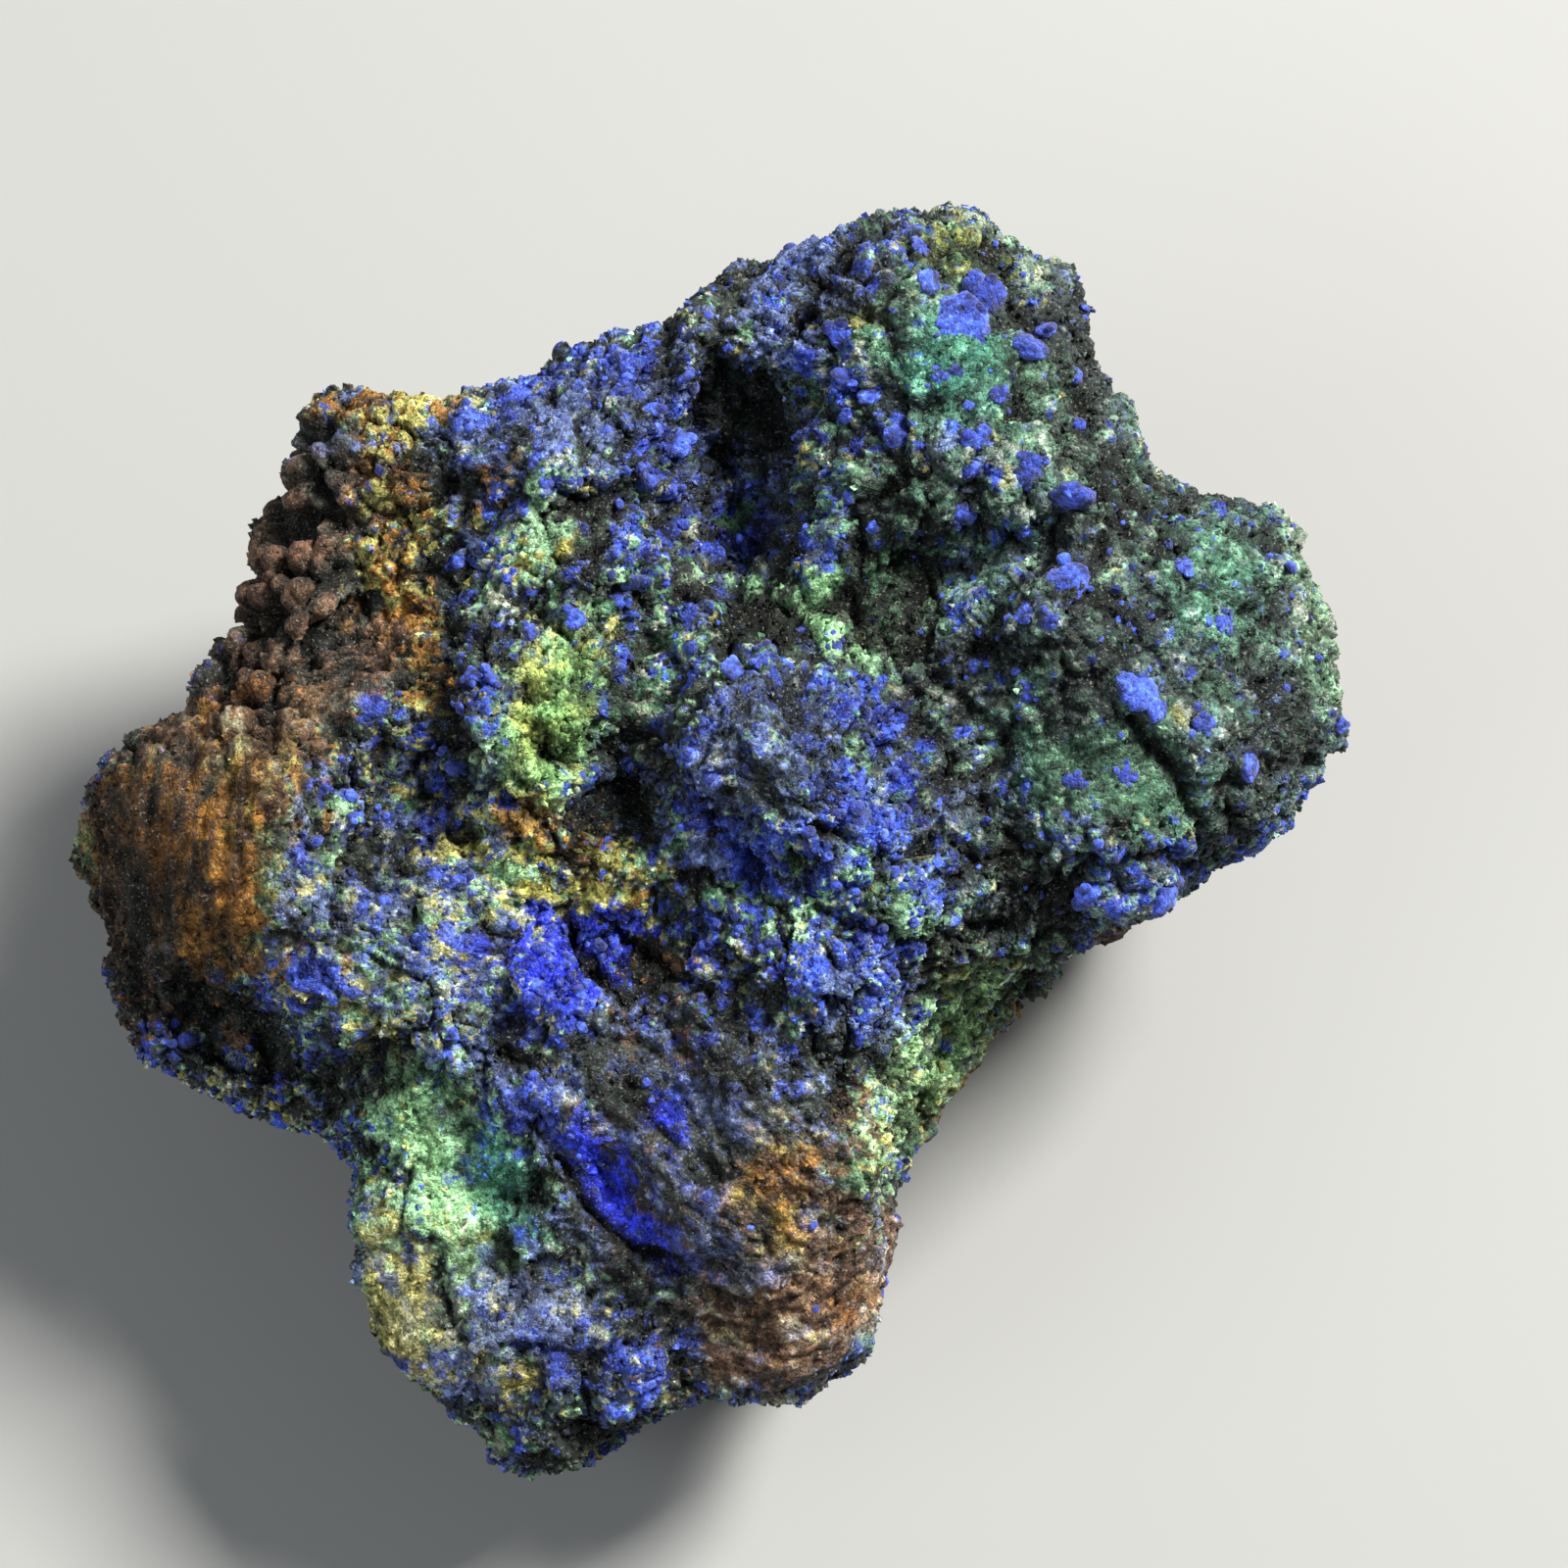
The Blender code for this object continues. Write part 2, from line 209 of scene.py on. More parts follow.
def blocks(points, size, seed):
    """Height, about -1 to 1, of flat-topped blocks about `size` apart, each tilted and raised by its own
    chances, with a crack between neighbours: 1.3 d.t + 0.6 h - 0.7 exp(-(g / 0.14)^2), where d is the way
    from the block's middle, t its tilt, h its rise and g how much farther the second nearest is."""
    away, home, gap = nearest_lump(points, size, seed)
    tilt = np.stack([2.0 * fixed_chance(home, seed + axis) - 1.0 for axis in (3, 4, 5)], axis=1)
    raised = 2.0 * fixed_chance(home, seed + 6) - 1.0
    return (away * tilt).sum(axis=1) * 1.3 + 0.6 * raised - 0.7 * np.exp(-((gap / 0.14) ** 2))


def patch(u, v, form):
    """A soft-edged oval: exp(-q^2), q the squared distance in its own half length and half width."""
    middle_u, middle_v, half_length, half_width, turn = form
    c, s = math.cos(math.radians(turn)), math.sin(math.radians(turn))
    along = ((u - middle_u) * c + (v - middle_v) * s) / half_length
    across = ((v - middle_v) * c - (u - middle_u) * s) / half_width
    return np.exp(-((along**2 + across**2) ** 2))


def line_distance(u, v, route):
    """Distance on the face to a bent line through the route's points."""
    nearest = np.full(u.shape, 99.0)
    for (u1, v1), (u2, v2) in zip(route, route[1:]):
        length = (u2 - u1) ** 2 + (v2 - v1) ** 2
        share = np.clip(((u - u1) * (u2 - u1) + (v - v1) * (v2 - v1)) / length, 0.0, 1.0)
        nearest = np.minimum(nearest, np.hypot(u - u1 - share * (u2 - u1), v - v1 - share * (v2 - v1)))
    return nearest


def fine_skin(node, levels):
    """The solid's faces merged, paired to quads and smoothly split: points in mm, and the quads' corners."""
    mesh = node.data.copy()
    shape = bmesh.new()
    shape.from_mesh(mesh)
    bmesh.ops.remove_doubles(shape, verts=shape.verts, dist=1e-6)
    bmesh.ops.join_triangles(
        shape, faces=shape.faces, angle_face_threshold=math.pi, angle_shape_threshold=math.pi
    )
    shape.to_mesh(mesh)
    shape.free()
    holder = bpy.data.objects.new("skin_maker", mesh)
    bpy.context.scene.collection.objects.link(holder)
    split = holder.modifiers.new("finer", "SUBSURF")
    split.levels = split.render_levels = levels
    finer = holder.evaluated_get(bpy.context.evaluated_depsgraph_get()).to_mesh()
    points = np.empty(len(finer.vertices) * 3)
    finer.vertices.foreach_get("co", points)
    corners = np.empty(len(finer.loops), np.int64)
    finer.loops.foreach_get("vertex_index", corners)
    bpy.data.objects.remove(holder)
    return points.reshape(-1, 3) / MM, corners.reshape(-1, 4)


def in_four(quads, first):
    """Each quad in four: its corners, the middles of its sides and its own middle, numbered on from `first`.
    Returns the new quads, the two ends of each side, and which sides only one quad has."""
    sides = np.sort(np.stack([quads, np.roll(quads, -1, axis=1)], axis=-1).reshape(-1, 2), axis=1)
    ends, side, uses = np.unique(sides, axis=0, return_inverse=True, return_counts=True)
    side = side.reshape(-1, 4) + first
    middle = first + len(ends) + np.arange(len(quads))
    finer = [np.stack([quads[:, k], side[:, k], middle, side[:, k - 1]], axis=1) for k in range(4)]
    return np.vstack(finer), ends, uses == 1


def quad_crosses(points, quads):
    """Cross of each quad's diagonals: its normal, as long as twice its area."""
    a, b, c, d = points[quads].transpose(1, 0, 2)
    return np.cross(c - a, d - b)


def outward(points, quads):
    """The outward direction at each point, from the crosses of the quads round it."""
    crosses = quad_crosses(points, quads)
    total = np.zeros_like(points)
    for corner in quads.T:
        for axis in (0, 1, 2):
            total[:, axis] += np.bincount(corner, crosses[:, axis], len(points))
    return total / np.maximum(np.linalg.norm(total, axis=1, keepdims=True), 1e-12)


# Zones of the face where the crust grew in its own way, as middle u and v, half length, half width and turn
# in degrees, and then the cracks as routes over the face.
GRAPES = (-21.6, 12.6, 9.0, 3.4, 78)
LEAVES = (-20.5, 7.6, 6.2, 2.4, 14)
LEFT_LOBE = (-25.8, 0.0, 7.2, 6.2, 80)
LOWER_PLATEAU = (0.8, -17.4, 9.5, 7.0, -38)
LOWER_CORNER = (5.5, -24.5, 7.5, 3.4, 28)
BOULDER = (2.6, 4.2, 3.8, 3.8, 0)
CREST = (13.5, 24.0, 5.0, 4.5, 0)
SHOULDER = (-15.0, -5.5, 6.0, 5.0, 0)
RIGHT_LOBE = (25.0, 8.5, 8.0, 7.0, 0)
BLUE_PLATEAU = (-7.5, 20.8, 7.0, 3.0, 12)
BOTTOM_LOBE = (-9.8, -24.8, 6.0, 4.6, 10)
YELLOW_SIDE = (-15.8, -22.5, 5.0, 1.8, -72)
MALACHITE_BANK = (-12.8, -16.6, 5.4, 2.9, -76)
GREEN_FOLD = (20.0, 3.0, 5.0, 2.4, -18)
CLEFT = ((-7.0, -16.2), (-5.6, -19.2), (-3.5, -20.7), (-1.4, -21.2))
SHORT_CLEFT = ((-3.8, -12.0), (-2.8, -14.4), (-1.6, -15.2))
UPPER_CLEFT = ((-8.0, -12.6), (-6.8, -14.0), (-6.2, -15.4))
VUG = ((-6.0, -15.0), (-5.4, -16.6), (-4.2, -18.4), (-2.6, -19.8), (-1.2, -20.3))
LOBE_CRACK = ((21.4, 5.6), (23.5, 3.0), (24.8, 0.2))
BLOCK_CRACK = ((-6.2, 8.6), (-4.6, 4.6), (-3.4, 0.8))
SLOT_CRACK = ((11.2, 12.6), (14.2, 13.6), (17.0, 14.6))

# Each route's depth and half width. Along those with a depth below 0, crystals fill the hollow of the solid.
CRACKS = (
    (CLEFT, 0.7, 0.35),
    (SHORT_CLEFT, 0.6, 0.4),
    (UPPER_CLEFT, -1.2, 0.9),
    (VUG, -0.5, 1.0),
    (LOBE_CRACK, 0.8, 0.4),
    (BLOCK_CRACK, 0.3, 0.6),
    (SLOT_CRACK, 0.2, 0.7),
)

# How smooth the crust is in each zone.
CALM_ZONES = (
    (LEFT_LOBE, 0.8), (GRAPES, 0.9), (LEAVES, 0.9), (LOWER_PLATEAU, 0.75), (LOWER_CORNER, 0.8),
    (MALACHITE_BANK, 0.6), (GREEN_FOLD, 0.6), (BOULDER, 0.35), (CREST, 0.4), (BLUE_PLATEAU, 0.35),
    (YELLOW_SIDE, 0.6), (BOTTOM_LOBE, 0.45), (RIGHT_LOBE, 0.4), (SHOULDER, 0.3),
)

# The brown leaves' thickness and their lean in radians, and the most that the relief may stand out.
LEAF_STEP, LEAF_LEAN = 1.0, 0.25
HIGHEST_RELIEF = 0.8


def calm(u, v, n):
    """How smooth the crust is, 0 to 0.9: the sum of the calm zones' patches, each times its share. The brown
    corner and lobe, the grapes, the streaky plateau and the green banks are the smoothest."""
    return on_face(n) * np.clip(sum(share * patch(u, v, form) for form, share in CALM_ZONES), 0.0, 0.9)


def fibres(points, size, seed):
    """Noise from -1 to 1 drawn out along the grain of each smooth zone: down the left lobe, aslant over the
    plateau, and in bent layers round the lower corner. It is 0 elsewhere."""
    u, v, n = to_face(points)
    down = points * (1.0, 0.28, 0.28)
    slanted = np.stack([(u + v) * 0.9, (u - v) * 0.3, n], axis=1)
    bent = np.stack([1.4 * (v - 0.045 * (u - 3.0) ** 2), 0.3 * u, n], axis=1)
    grain = sum(
        patch(u, v, form) * cloud(drawn, size, seed)
        for form, drawn in ((LEFT_LOBE, down), (LOWER_PLATEAU, slanted), (LOWER_CORNER, bent))
    )
    return grain * on_face(n)


def relief(points):
    """How far each point of the crust stands out, in mm: broken blocks of three sizes and knobs of two sizes
    where it isn't calm, bigger knobs where the brown grapes grew, leaves and fibres along their own grain,
    and the cracks as exp(-(distance / half width)^2). What stands out is held under HIGHEST_RELIEF by
    tanh."""
    u, v, n = to_face(points)
    front = on_face(n)
    grapes, leaves = patch(u, v, GRAPES) * front, patch(u, v, LEAVES) * front
    bent_points = points + np.stack([0.35 * cloud(points, 1.4, seed) for seed in (61, 62, 63)], axis=1)
    crag = 0.50 * blocks(bent_points, 4.2, 101) + 0.34 * blocks(bent_points, 1.9, 111)
    crag += 0.20 * blocks(bent_points, 0.85, 141)
    crag += 0.16 * knobs(bent_points, 1.05, 121) + 0.18 * knobs(points, 0.5, 131)
    height = crag * (1.0 - calm(u, v, n)) + 0.20 * cloud(points, 1.8, 33) + 0.12 * cloud(points, 0.5, 31)
    height += grapes * (1.9 * knobs(bent_points, 1.6, 5, 0.6) + 0.25 * knobs(points, 0.6, 8))
    across = v * math.cos(LEAF_LEAN) - u * math.sin(LEAF_LEAN) + 0.8 * cloud(points, 2.2, 7)
    height += leaves * (across % LEAF_STEP - 0.5 * LEAF_STEP + 0.4 * cloud(points, 0.8, 10))
    height += 0.22 * fibres(points, 0.8, 9) + 0.26 * fibres(points, 0.36, 12)
    for route, depth, width in CRACKS:
        height -= front * depth * np.exp(-((line_distance(u, v, route) / width) ** 2))
    return np.where(height > 0.0, HIGHEST_RELIEF * np.tanh(height / HIGHEST_RELIEF), height)


# The minerals of the crust, and last the rusty and brown rock that they grew on.
MINERALS = ("azurite", "dull_azurite", "black", "malachite", "mint", "pale", "yellow", "rust", "brown")

# The patches that are laid over the whole face, the wide ones first and then the small ones over them. Each
# has its form, how strongly it covers, and the shares of the minerals in the order above.
PATCHES = (
    ((20.0, 13.5, 17.0, 14.0, 0), 0.95, (9, 7, 36, 26, 8, 11, 3, 0, 0)),       # green and black right half
    ((13.5, 25.5, 7.5, 5.5, -40), 0.9, (5, 5, 28, 34, 14, 10, 4, 0, 0)),       # crest with blue balls
    ((12.3, 23.4, 2.8, 2.6, 0), 0.9, (8, 0, 2, 56, 32, 2, 0, 0, 0)),           # teal below the crest
    ((13.2, 29.3, 4.0, 1.5, -20), 0.85, (8, 6, 26, 12, 4, 6, 36, 2, 0)),       # olive peak
    ((7.0, 26.6, 2.6, 1.3, 0), 0.85, (8, 4, 8, 30, 12, 2, 36, 0, 0)),          # yellow-green step
    ((4.0, 27.8, 6.5, 2.6, 26), 0.9, (16, 40, 38, 2, 2, 2, 0, 0, 0)),          # dark blue ridge
    ((18.6, 25.4, 5.0, 1.8, -68), 0.95, (1, 8, 84, 2, 0, 5, 0, 0, 0)),         # black flank
    ((-7.5, 20.8, 9.0, 3.6, 12), 0.92, (19, 42, 21, 3, 4, 8, 2, 1, 0)),        # grey-blue plateau
    ((-5.5, 13.2, 9.5, 5.5, 0), 0.9, (24, 14, 26, 13, 9, 9, 5, 0, 0)),         # blue specks on dark green
    ((-8.5, 14.3, 2.8, 1.6, 20), 0.85, (6, 4, 4, 16, 36, 4, 30, 0, 0)),        # yellow-green fleck
    ((-11.0, 17.5, 2.4, 1.8, 0), 0.6, (14, 30, 16, 4, 2, 2, 10, 16, 6)),       # rusty fleck on the plateau
    ((7.0, 11.6, 5.2, 3.4, 10), 0.9, (6, 3, 26, 42, 17, 4, 2, 0, 0)),          # green valley
    ((5.2, 12.0, 2.8, 1.5, -62), 0.88, (4, 2, 8, 24, 38, 2, 22, 0, 0)),        # lime fleck in it
    # the black in the deep pit is painted shade
    ((1.0, 19.2, 3.0, 5.0, -10), 0.95, (14, 16, 60, 10, 0, 0, 0, 0, 0)),       # deep pit
    ((-2.0, 18.6, 2.2, 4.0, 0), 0.7, (46, 22, 30, 2, 0, 0, 0, 0, 0)),          # blue lip of the pit
    ((-7.8, 5.4, 5.2, 2.8, 70), 0.97, (3, 1, 1, 5, 54, 2, 34, 0, 0)),          # yellow-green bank
    ((-11.0, 6.6, 2.0, 2.8, 0), 0.75, (56, 14, 12, 6, 6, 6, 0, 0, 0)),         # blue crest of the block
    ((-12.8, 2.6, 2.8, 2.4, 0), 0.75, (24, 14, 8, 16, 14, 8, 16, 0, 0)),       # dark green pocket
    ((-16.2, 2.4, 3.2, 3.2, 0), 0.9, (26, 18, 4, 12, 14, 12, 12, 2, 0)),       # bright specks by the lobe
    ((-16.6, -9.4, 2.4, 1.5, -50), 0.8, (14, 8, 4, 6, 16, 16, 34, 2, 0)),      # cream specks by the shoulder
    # the black in the hollow beside the pit is painted shade
    ((4.2, 14.2, 3.4, 1.5, -8), 0.85, (16, 12, 60, 10, 2, 0, 0, 0, 0)),        # dark hollow beside the pit
    ((-7.4, -1.8, 5.6, 2.7, -22), 0.95, (6, 3, 3, 4, 9, 12, 45, 10, 8)),       # rust and yellow
    ((-8.8, 0.9, 2.0, 1.3, -20), 0.9, (4, 2, 8, 2, 2, 2, 20, 38, 22)),         # rust streak above that
    ((-1.6, -10.0, 4.6, 1.9, -34), 0.85, (10, 18, 18, 2, 0, 4, 2, 6, 40)),     # brown slope
    ((-6.3, -6.2, 5.8, 2.8, -8), 0.97, (90, 4, 1, 1, 1, 1, 1, 1, 0)),          # deep blue hollow
    ((-2.3, -6.4, 1.3, 1.4, 0), 0.95, (1, 2, 14, 0, 0, 3, 3, 20, 57)),         # round brown spot beside it
    ((3.0, 4.0, 5.6, 5.2, 0), 0.92, (22, 38, 22, 3, 7, 8, 0, 0, 0)),           # boulder
    ((8.2, 2.2, 2.6, 3.6, 0), 0.92, (46, 26, 1, 4, 15, 8, 0, 0, 0)),           # bright blue right of it
    ((8.7, 6.4, 1.8, 0.7, -5), 0.97, (98, 2, 0, 0, 0, 0, 0, 0, 0)),            # blue plate above that
    ((6.0, -1.4, 6.4, 2.1, -8), 0.92, (44, 26, 3, 4, 15, 8, 0, 0, 0)),         # bright blue below it
    ((8.4, -3.9, 4.0, 1.7, -10), 0.85, (16, 6, 4, 18, 46, 9, 1, 0, 0)),        # mint streak
    ((8.0, -7.5, 4.8, 2.5, -32), 0.88, (42, 37, 2, 3, 8, 8, 0, 0, 0)),         # blue ridge
    ((12.6, -6.8, 2.0, 1.7, 0), 0.8, (10, 6, 18, 22, 8, 4, 32, 0, 0)),         # yellow flecks
    ((0.5, -17.0, 9.5, 7.5, -35), 0.93, (6, 24, 44, 1, 1, 7, 1, 3, 13)),       # grey-blue lower plateau
    ((-11.4, -3.6, 3.4, 1.9, -30), 0.85, (12, 8, 5, 4, 12, 16, 36, 5, 2)),     # cream and yellow beside them
    ((-10.2, -8.5, 5.0, 3.0, -20), 0.8, (36, 24, 9, 6, 9, 10, 6, 0, 0)),       # blue above the malachite
    ((3.5, -18.0, 2.1, 3.3, 0), 0.98, (1, 0, 3, 0, 0, 2, 32, 49, 13)),         # orange spot
    ((7.2, -16.6, 4.4, 2.0, 80), 0.95, (2, 4, 18, 0, 0, 4, 2, 5, 65)),         # brown edge
    ((5.0, -23.8, 7.6, 3.6, 26), 0.97, (2, 3, 7, 0, 0, 9, 5, 14, 60)),         # brown lower corner
    ((-11.0, -25.0, 5.5, 5.0, 0), 0.92, (20, 44, 7, 5, 7, 12, 5, 0, 0)),       # speckled bottom lobe
    ((-15.6, -22.5, 5.0, 1.9, -72), 0.97, (8, 13, 3, 7, 20, 8, 41, 0, 0)),     # yellow edge
    ((-8.8, -28.0, 1.2, 0.9, 60), 0.7, (6, 12, 18, 8, 6, 4, 46, 0, 0)),        # olive spot
    ((-5.0, -26.2, 4.0, 1.8, 5), 0.8, (48, 26, 20, 0, 1, 5, 0, 0, 0)),         # deep blue bottom
    ((-12.6, -16.8, 6.0, 3.1, -72), 0.98, (12, 6, 0, 5, 67, 4, 6, 0, 0)),      # light green malachite
    ((-13.9, -16.0, 4.8, 1.3, -75), 0.95, (2, 2, 0, 3, 72, 4, 17, 0, 0)),      # its yellower side
    # the black in these two malachite hollows is painted shade over dark green
    ((-12.0, -14.6, 1.6, 0.7, -60), 0.95, (0, 0, 40, 60, 0, 0, 0, 0, 0)),      # dark green chink in it
    ((-8.8, -18.8, 2.4, 1.0, -45), 0.95, (4, 4, 46, 44, 2, 0, 0, 0, 0)),       # dark green hollow by it
    ((-9.8, -17.4, 3.4, 1.3, -66), 0.9, (8, 4, 10, 60, 18, 0, 0, 0, 0)),       # teal beside it
    ((-7.9, -14.8, 5.4, 1.0, -50), 0.88, (46, 34, 6, 2, 5, 7, 0, 0, 0)),       # blue strip along the cleft
    ((25.0, 9.0, 9.5, 9.0, 0), 0.88, (7, 6, 46, 23, 8, 9, 1, 0, 0)),           # right lobe
    ((20.6, 2.6, 5.2, 2.8, -18), 0.93, (2, 1, 16, 62, 14, 3, 2, 0, 0)),        # its smooth green fold
    ((25.6, 12.4, 2.8, 2.6, 0), 0.88, (3, 0, 6, 46, 34, 11, 0, 0, 0)),         # its teal brow
    ((21.0, 9.4, 3.6, 2.6, 0), 0.75, (8, 5, 56, 20, 4, 7, 0, 0, 0)),           # its dark middle
    ((31.0, 12.0, 6.0, 2.0, -76), 0.93, (3, 2, 12, 18, 36, 28, 1, 0, 0)),      # its pale rim
    ((12.2, -12.2, 7.6, 3.0, 56), 0.95, (2, 1, 6, 20, 50, 6, 15, 0, 0)),       # green flank under the ledge
    ((-15.0, -4.6, 6.5, 6.5, 0), 0.94, (24, 22, 4, 4, 14, 18, 13, 1, 0)),      # speckled shoulder
    ((-16.2, 22.0, 4.2, 1.4, 0), 0.9, (3, 10, 6, 2, 2, 3, 42, 26, 6)),         # yellow top corner
    ((-21.5, 12.8, 9.8, 3.8, 78), 0.99, (0, 0, 44, 0, 0, 1, 0, 3, 52)),        # brown grapes
    ((-15.9, 16.4, 5.0, 2.8, 80), 0.97, (5, 4, 5, 2, 3, 8, 36, 27, 10)),       # ochre edge
    ((-15.9, 11.0, 2.8, 3.2, 0), 0.98, (0, 1, 7, 0, 0, 0, 14, 56, 22)),        # orange pocket
    ((-13.6, 8.4, 1.5, 2.8, 0), 0.85, (6, 3, 6, 3, 4, 2, 22, 44, 10)),         # rusty seam
    ((-20.0, 7.9, 6.0, 2.4, 14), 0.98, (0, 0, 36, 0, 0, 1, 0, 9, 54)),         # brown leaves
    ((-23.4, 5.6, 2.6, 1.0, 0), 0.85, (0, 2, 6, 0, 0, 40, 0, 4, 48)),          # pale dust
    ((-25.5, -0.4, 7.8, 6.2, 80), 0.99, (0, 0, 15, 0, 0, 0, 2, 44, 39)),       # rusty left lobe
    # black and brown on the left lobe's side away from the light: painted shade
    ((-29.2, -2.6, 7.2, 3.8, 80), 0.98, (0, 0, 40, 1, 0, 0, 0, 8, 51)),        # its dark side
    ((-23.6, -2.0, 4.8, 1.5, 84), 0.96, (0, 0, 1, 0, 0, 0, 12, 76, 11)),       # its orange streak
    ((-22.6, 3.4, 3.8, 1.6, -6), 0.85, (0, 0, 2, 0, 2, 13, 18, 34, 31)),       # tan top of the lobe
    ((-21.9, -2.8, 3.0, 0.8, 84), 0.85, (2, 4, 4, 28, 32, 4, 22, 4, 0)),       # green seam down its side
    ((-31.8, -1.6, 2.4, 0.9, 90), 0.8, (2, 4, 14, 28, 10, 2, 26, 4, 10)),      # its green edge
    ((-20.0, -2.4, 5.2, 1.9, 82), 0.9, (24, 16, 12, 14, 14, 9, 10, 1, 0)),     # speckled flank
    # the black and brown in the cave under the left lobe are painted shade
    ((-25.0, -8.7, 5.2, 1.7, -40), 0.95, (2, 4, 56, 0, 0, 1, 1, 6, 30)),       # dark cave
    ((-24.3, -13.0, 5.6, 1.5, -20), 0.93, (18, 14, 18, 4, 6, 18, 18, 0, 4)),   # specks below the cave
    ((16.5, -3.5, 5.0, 4.0, 0), 0.8, (12, 8, 40, 22, 9, 8, 1, 0, 0)),          # dark fold
    ((-4.6, -18.0, 4.8, 1.4, -56), 0.98, (97, 1, 2, 0, 0, 0, 0, 0, 0)),        # deep blue vug
    ((-2.1, -14.2, 1.7, 0.9, -50), 0.97, (95, 2, 3, 0, 0, 0, 0, 0, 0)),        # small blue vug
)
WHOLE_FACE = (20, 16, 30, 14, 8, 6, 4, 1, 1)
BACK_ROCK = (4, 8, 22, 5, 2, 3, 5, 15, 36)
BACK_CRUST = (20, 22, 28, 18, 5, 2, 2, 1, 2)
CLUMP_SIZES = (2.6, 1.1)
CLUMPING = (1.0, 1.1)
SHARPNESS = 1.6
EVEN_RIGHT = 0.4
RIGHT_FROM = 9.0

# The black share grows in the hollows, and the azurite and pale shares grow on what stands out.
DRAWN_UP = (("black", -1.1), ("azurite", 0.4), ("pale", 0.6))


def right_half(u):
    """0 on the left and 1 on the right of RIGHT_FROM, with a soft step between."""
    return soft_step(u, RIGHT_FROM, 2.0)


def mineral_shares(points, height):
    """Each point's nine mineral shares, adding to 1: the patches laid over one another with ragged edges on
    the face, and clouds of crust on brown rock at the back. Height and the fibres then multiply a mineral's
    share by exp of a strength, and so do clouds of two sizes of its own, which gather it into clumps, less so
    on the right. The shares are last raised to the power SHARPNESS."""
    u, v, n = to_face(points)
    u = u + 0.9 * cloud(points, 3.0, 41) + 0.5 * cloud(points, 1.1, 43)
    v = v + 0.9 * cloud(points, 3.0, 42) + 0.5 * cloud(points, 1.1, 44)
    shares = np.tile(np.array(WHOLE_FACE, float), (len(points), 1))
    for form, strength, mixture in PATCHES:
        cover = (strength * patch(u, v, form))[:, None]
        shares = shares * (1.0 - cover) + np.array(mixture, float) * cover
    islands = cloud(points, 7.0, 45) + 0.5 * cloud(points, 3.0, 46)
    crusted = soft_step(islands, -0.1, 1.0 / 9.0)[:, None]
    back = np.array(BACK_CRUST, float) * crusted + np.array(BACK_ROCK, float) * (1.0 - crusted)
    front = soft_step(n + 2.0 * cloud(points, 4.0, 47), -13.0, 1.2)[:, None]
    shares = shares * front + back * (1.0 - front)
    high = np.clip(height / 0.5, -1.2, 1.0)
    for name, strength in DRAWN_UP:
        shares[:, MINERALS.index(name)] *= np.exp(strength * high)
    streak = (2.2 * fibres(points, 0.9, 90) + 2.6 * fibres(points, 0.3, 91))[:, None]
    shares *= np.exp(np.where(np.isin(MINERALS, ("black", "brown")), -streak, streak))
    evenness = 1.0 - EVEN_RIGHT * right_half(u)
    for number in range(len(MINERALS)):
        for size, strength in zip(CLUMP_SIZES, CLUMPING):
            gathered = strength * evenness * cloud(points, size, 200 + 10 * number + int(size))
            shares[:, number] *= np.exp(gathered)
    shares = shares**SHARPNESS
    return shares / shares.sum(axis=1, keepdims=True)


# The darkest and the lightest tone of each mineral, linear red, green and blue.
COLOURS = {
    "azurite": ((0.007, 0.012, 0.15), (0.060, 0.130, 0.78)),
    "dull_azurite": ((0.032, 0.045, 0.105), (0.185, 0.265, 0.58)),
    "black": ((0.004, 0.006, 0.006), (0.072, 0.090, 0.080)),
    "malachite": ((0.020, 0.068, 0.040), (0.120, 0.28, 0.155)),
    "mint": ((0.15, 0.30, 0.165), (0.42, 0.72, 0.40)),
    "pale": ((0.18, 0.20, 0.15), (0.54, 0.58, 0.46)),
    "yellow": ((0.18, 0.17, 0.036), (0.64, 0.62, 0.20)),
    "rust": ((0.11, 0.042, 0.007), (0.48, 0.235, 0.040)),
    "brown": ((0.014, 0.008, 0.006), (0.196, 0.110, 0.068)),
}
TONES = np.array([COLOURS[name] for name in MINERALS])
CELL_SIZES = (0.38, 0.95)

# How far the minerals' colours run together: in calm zones, on the right, and on the lime-green bank.
SMOOTH_MIX, MATRIX_MIX, LIME_MIX = 0.8, 0.42, 0.7
LIME_BANK = (-7.8, 5.4, 5.4, 2.9, 70)
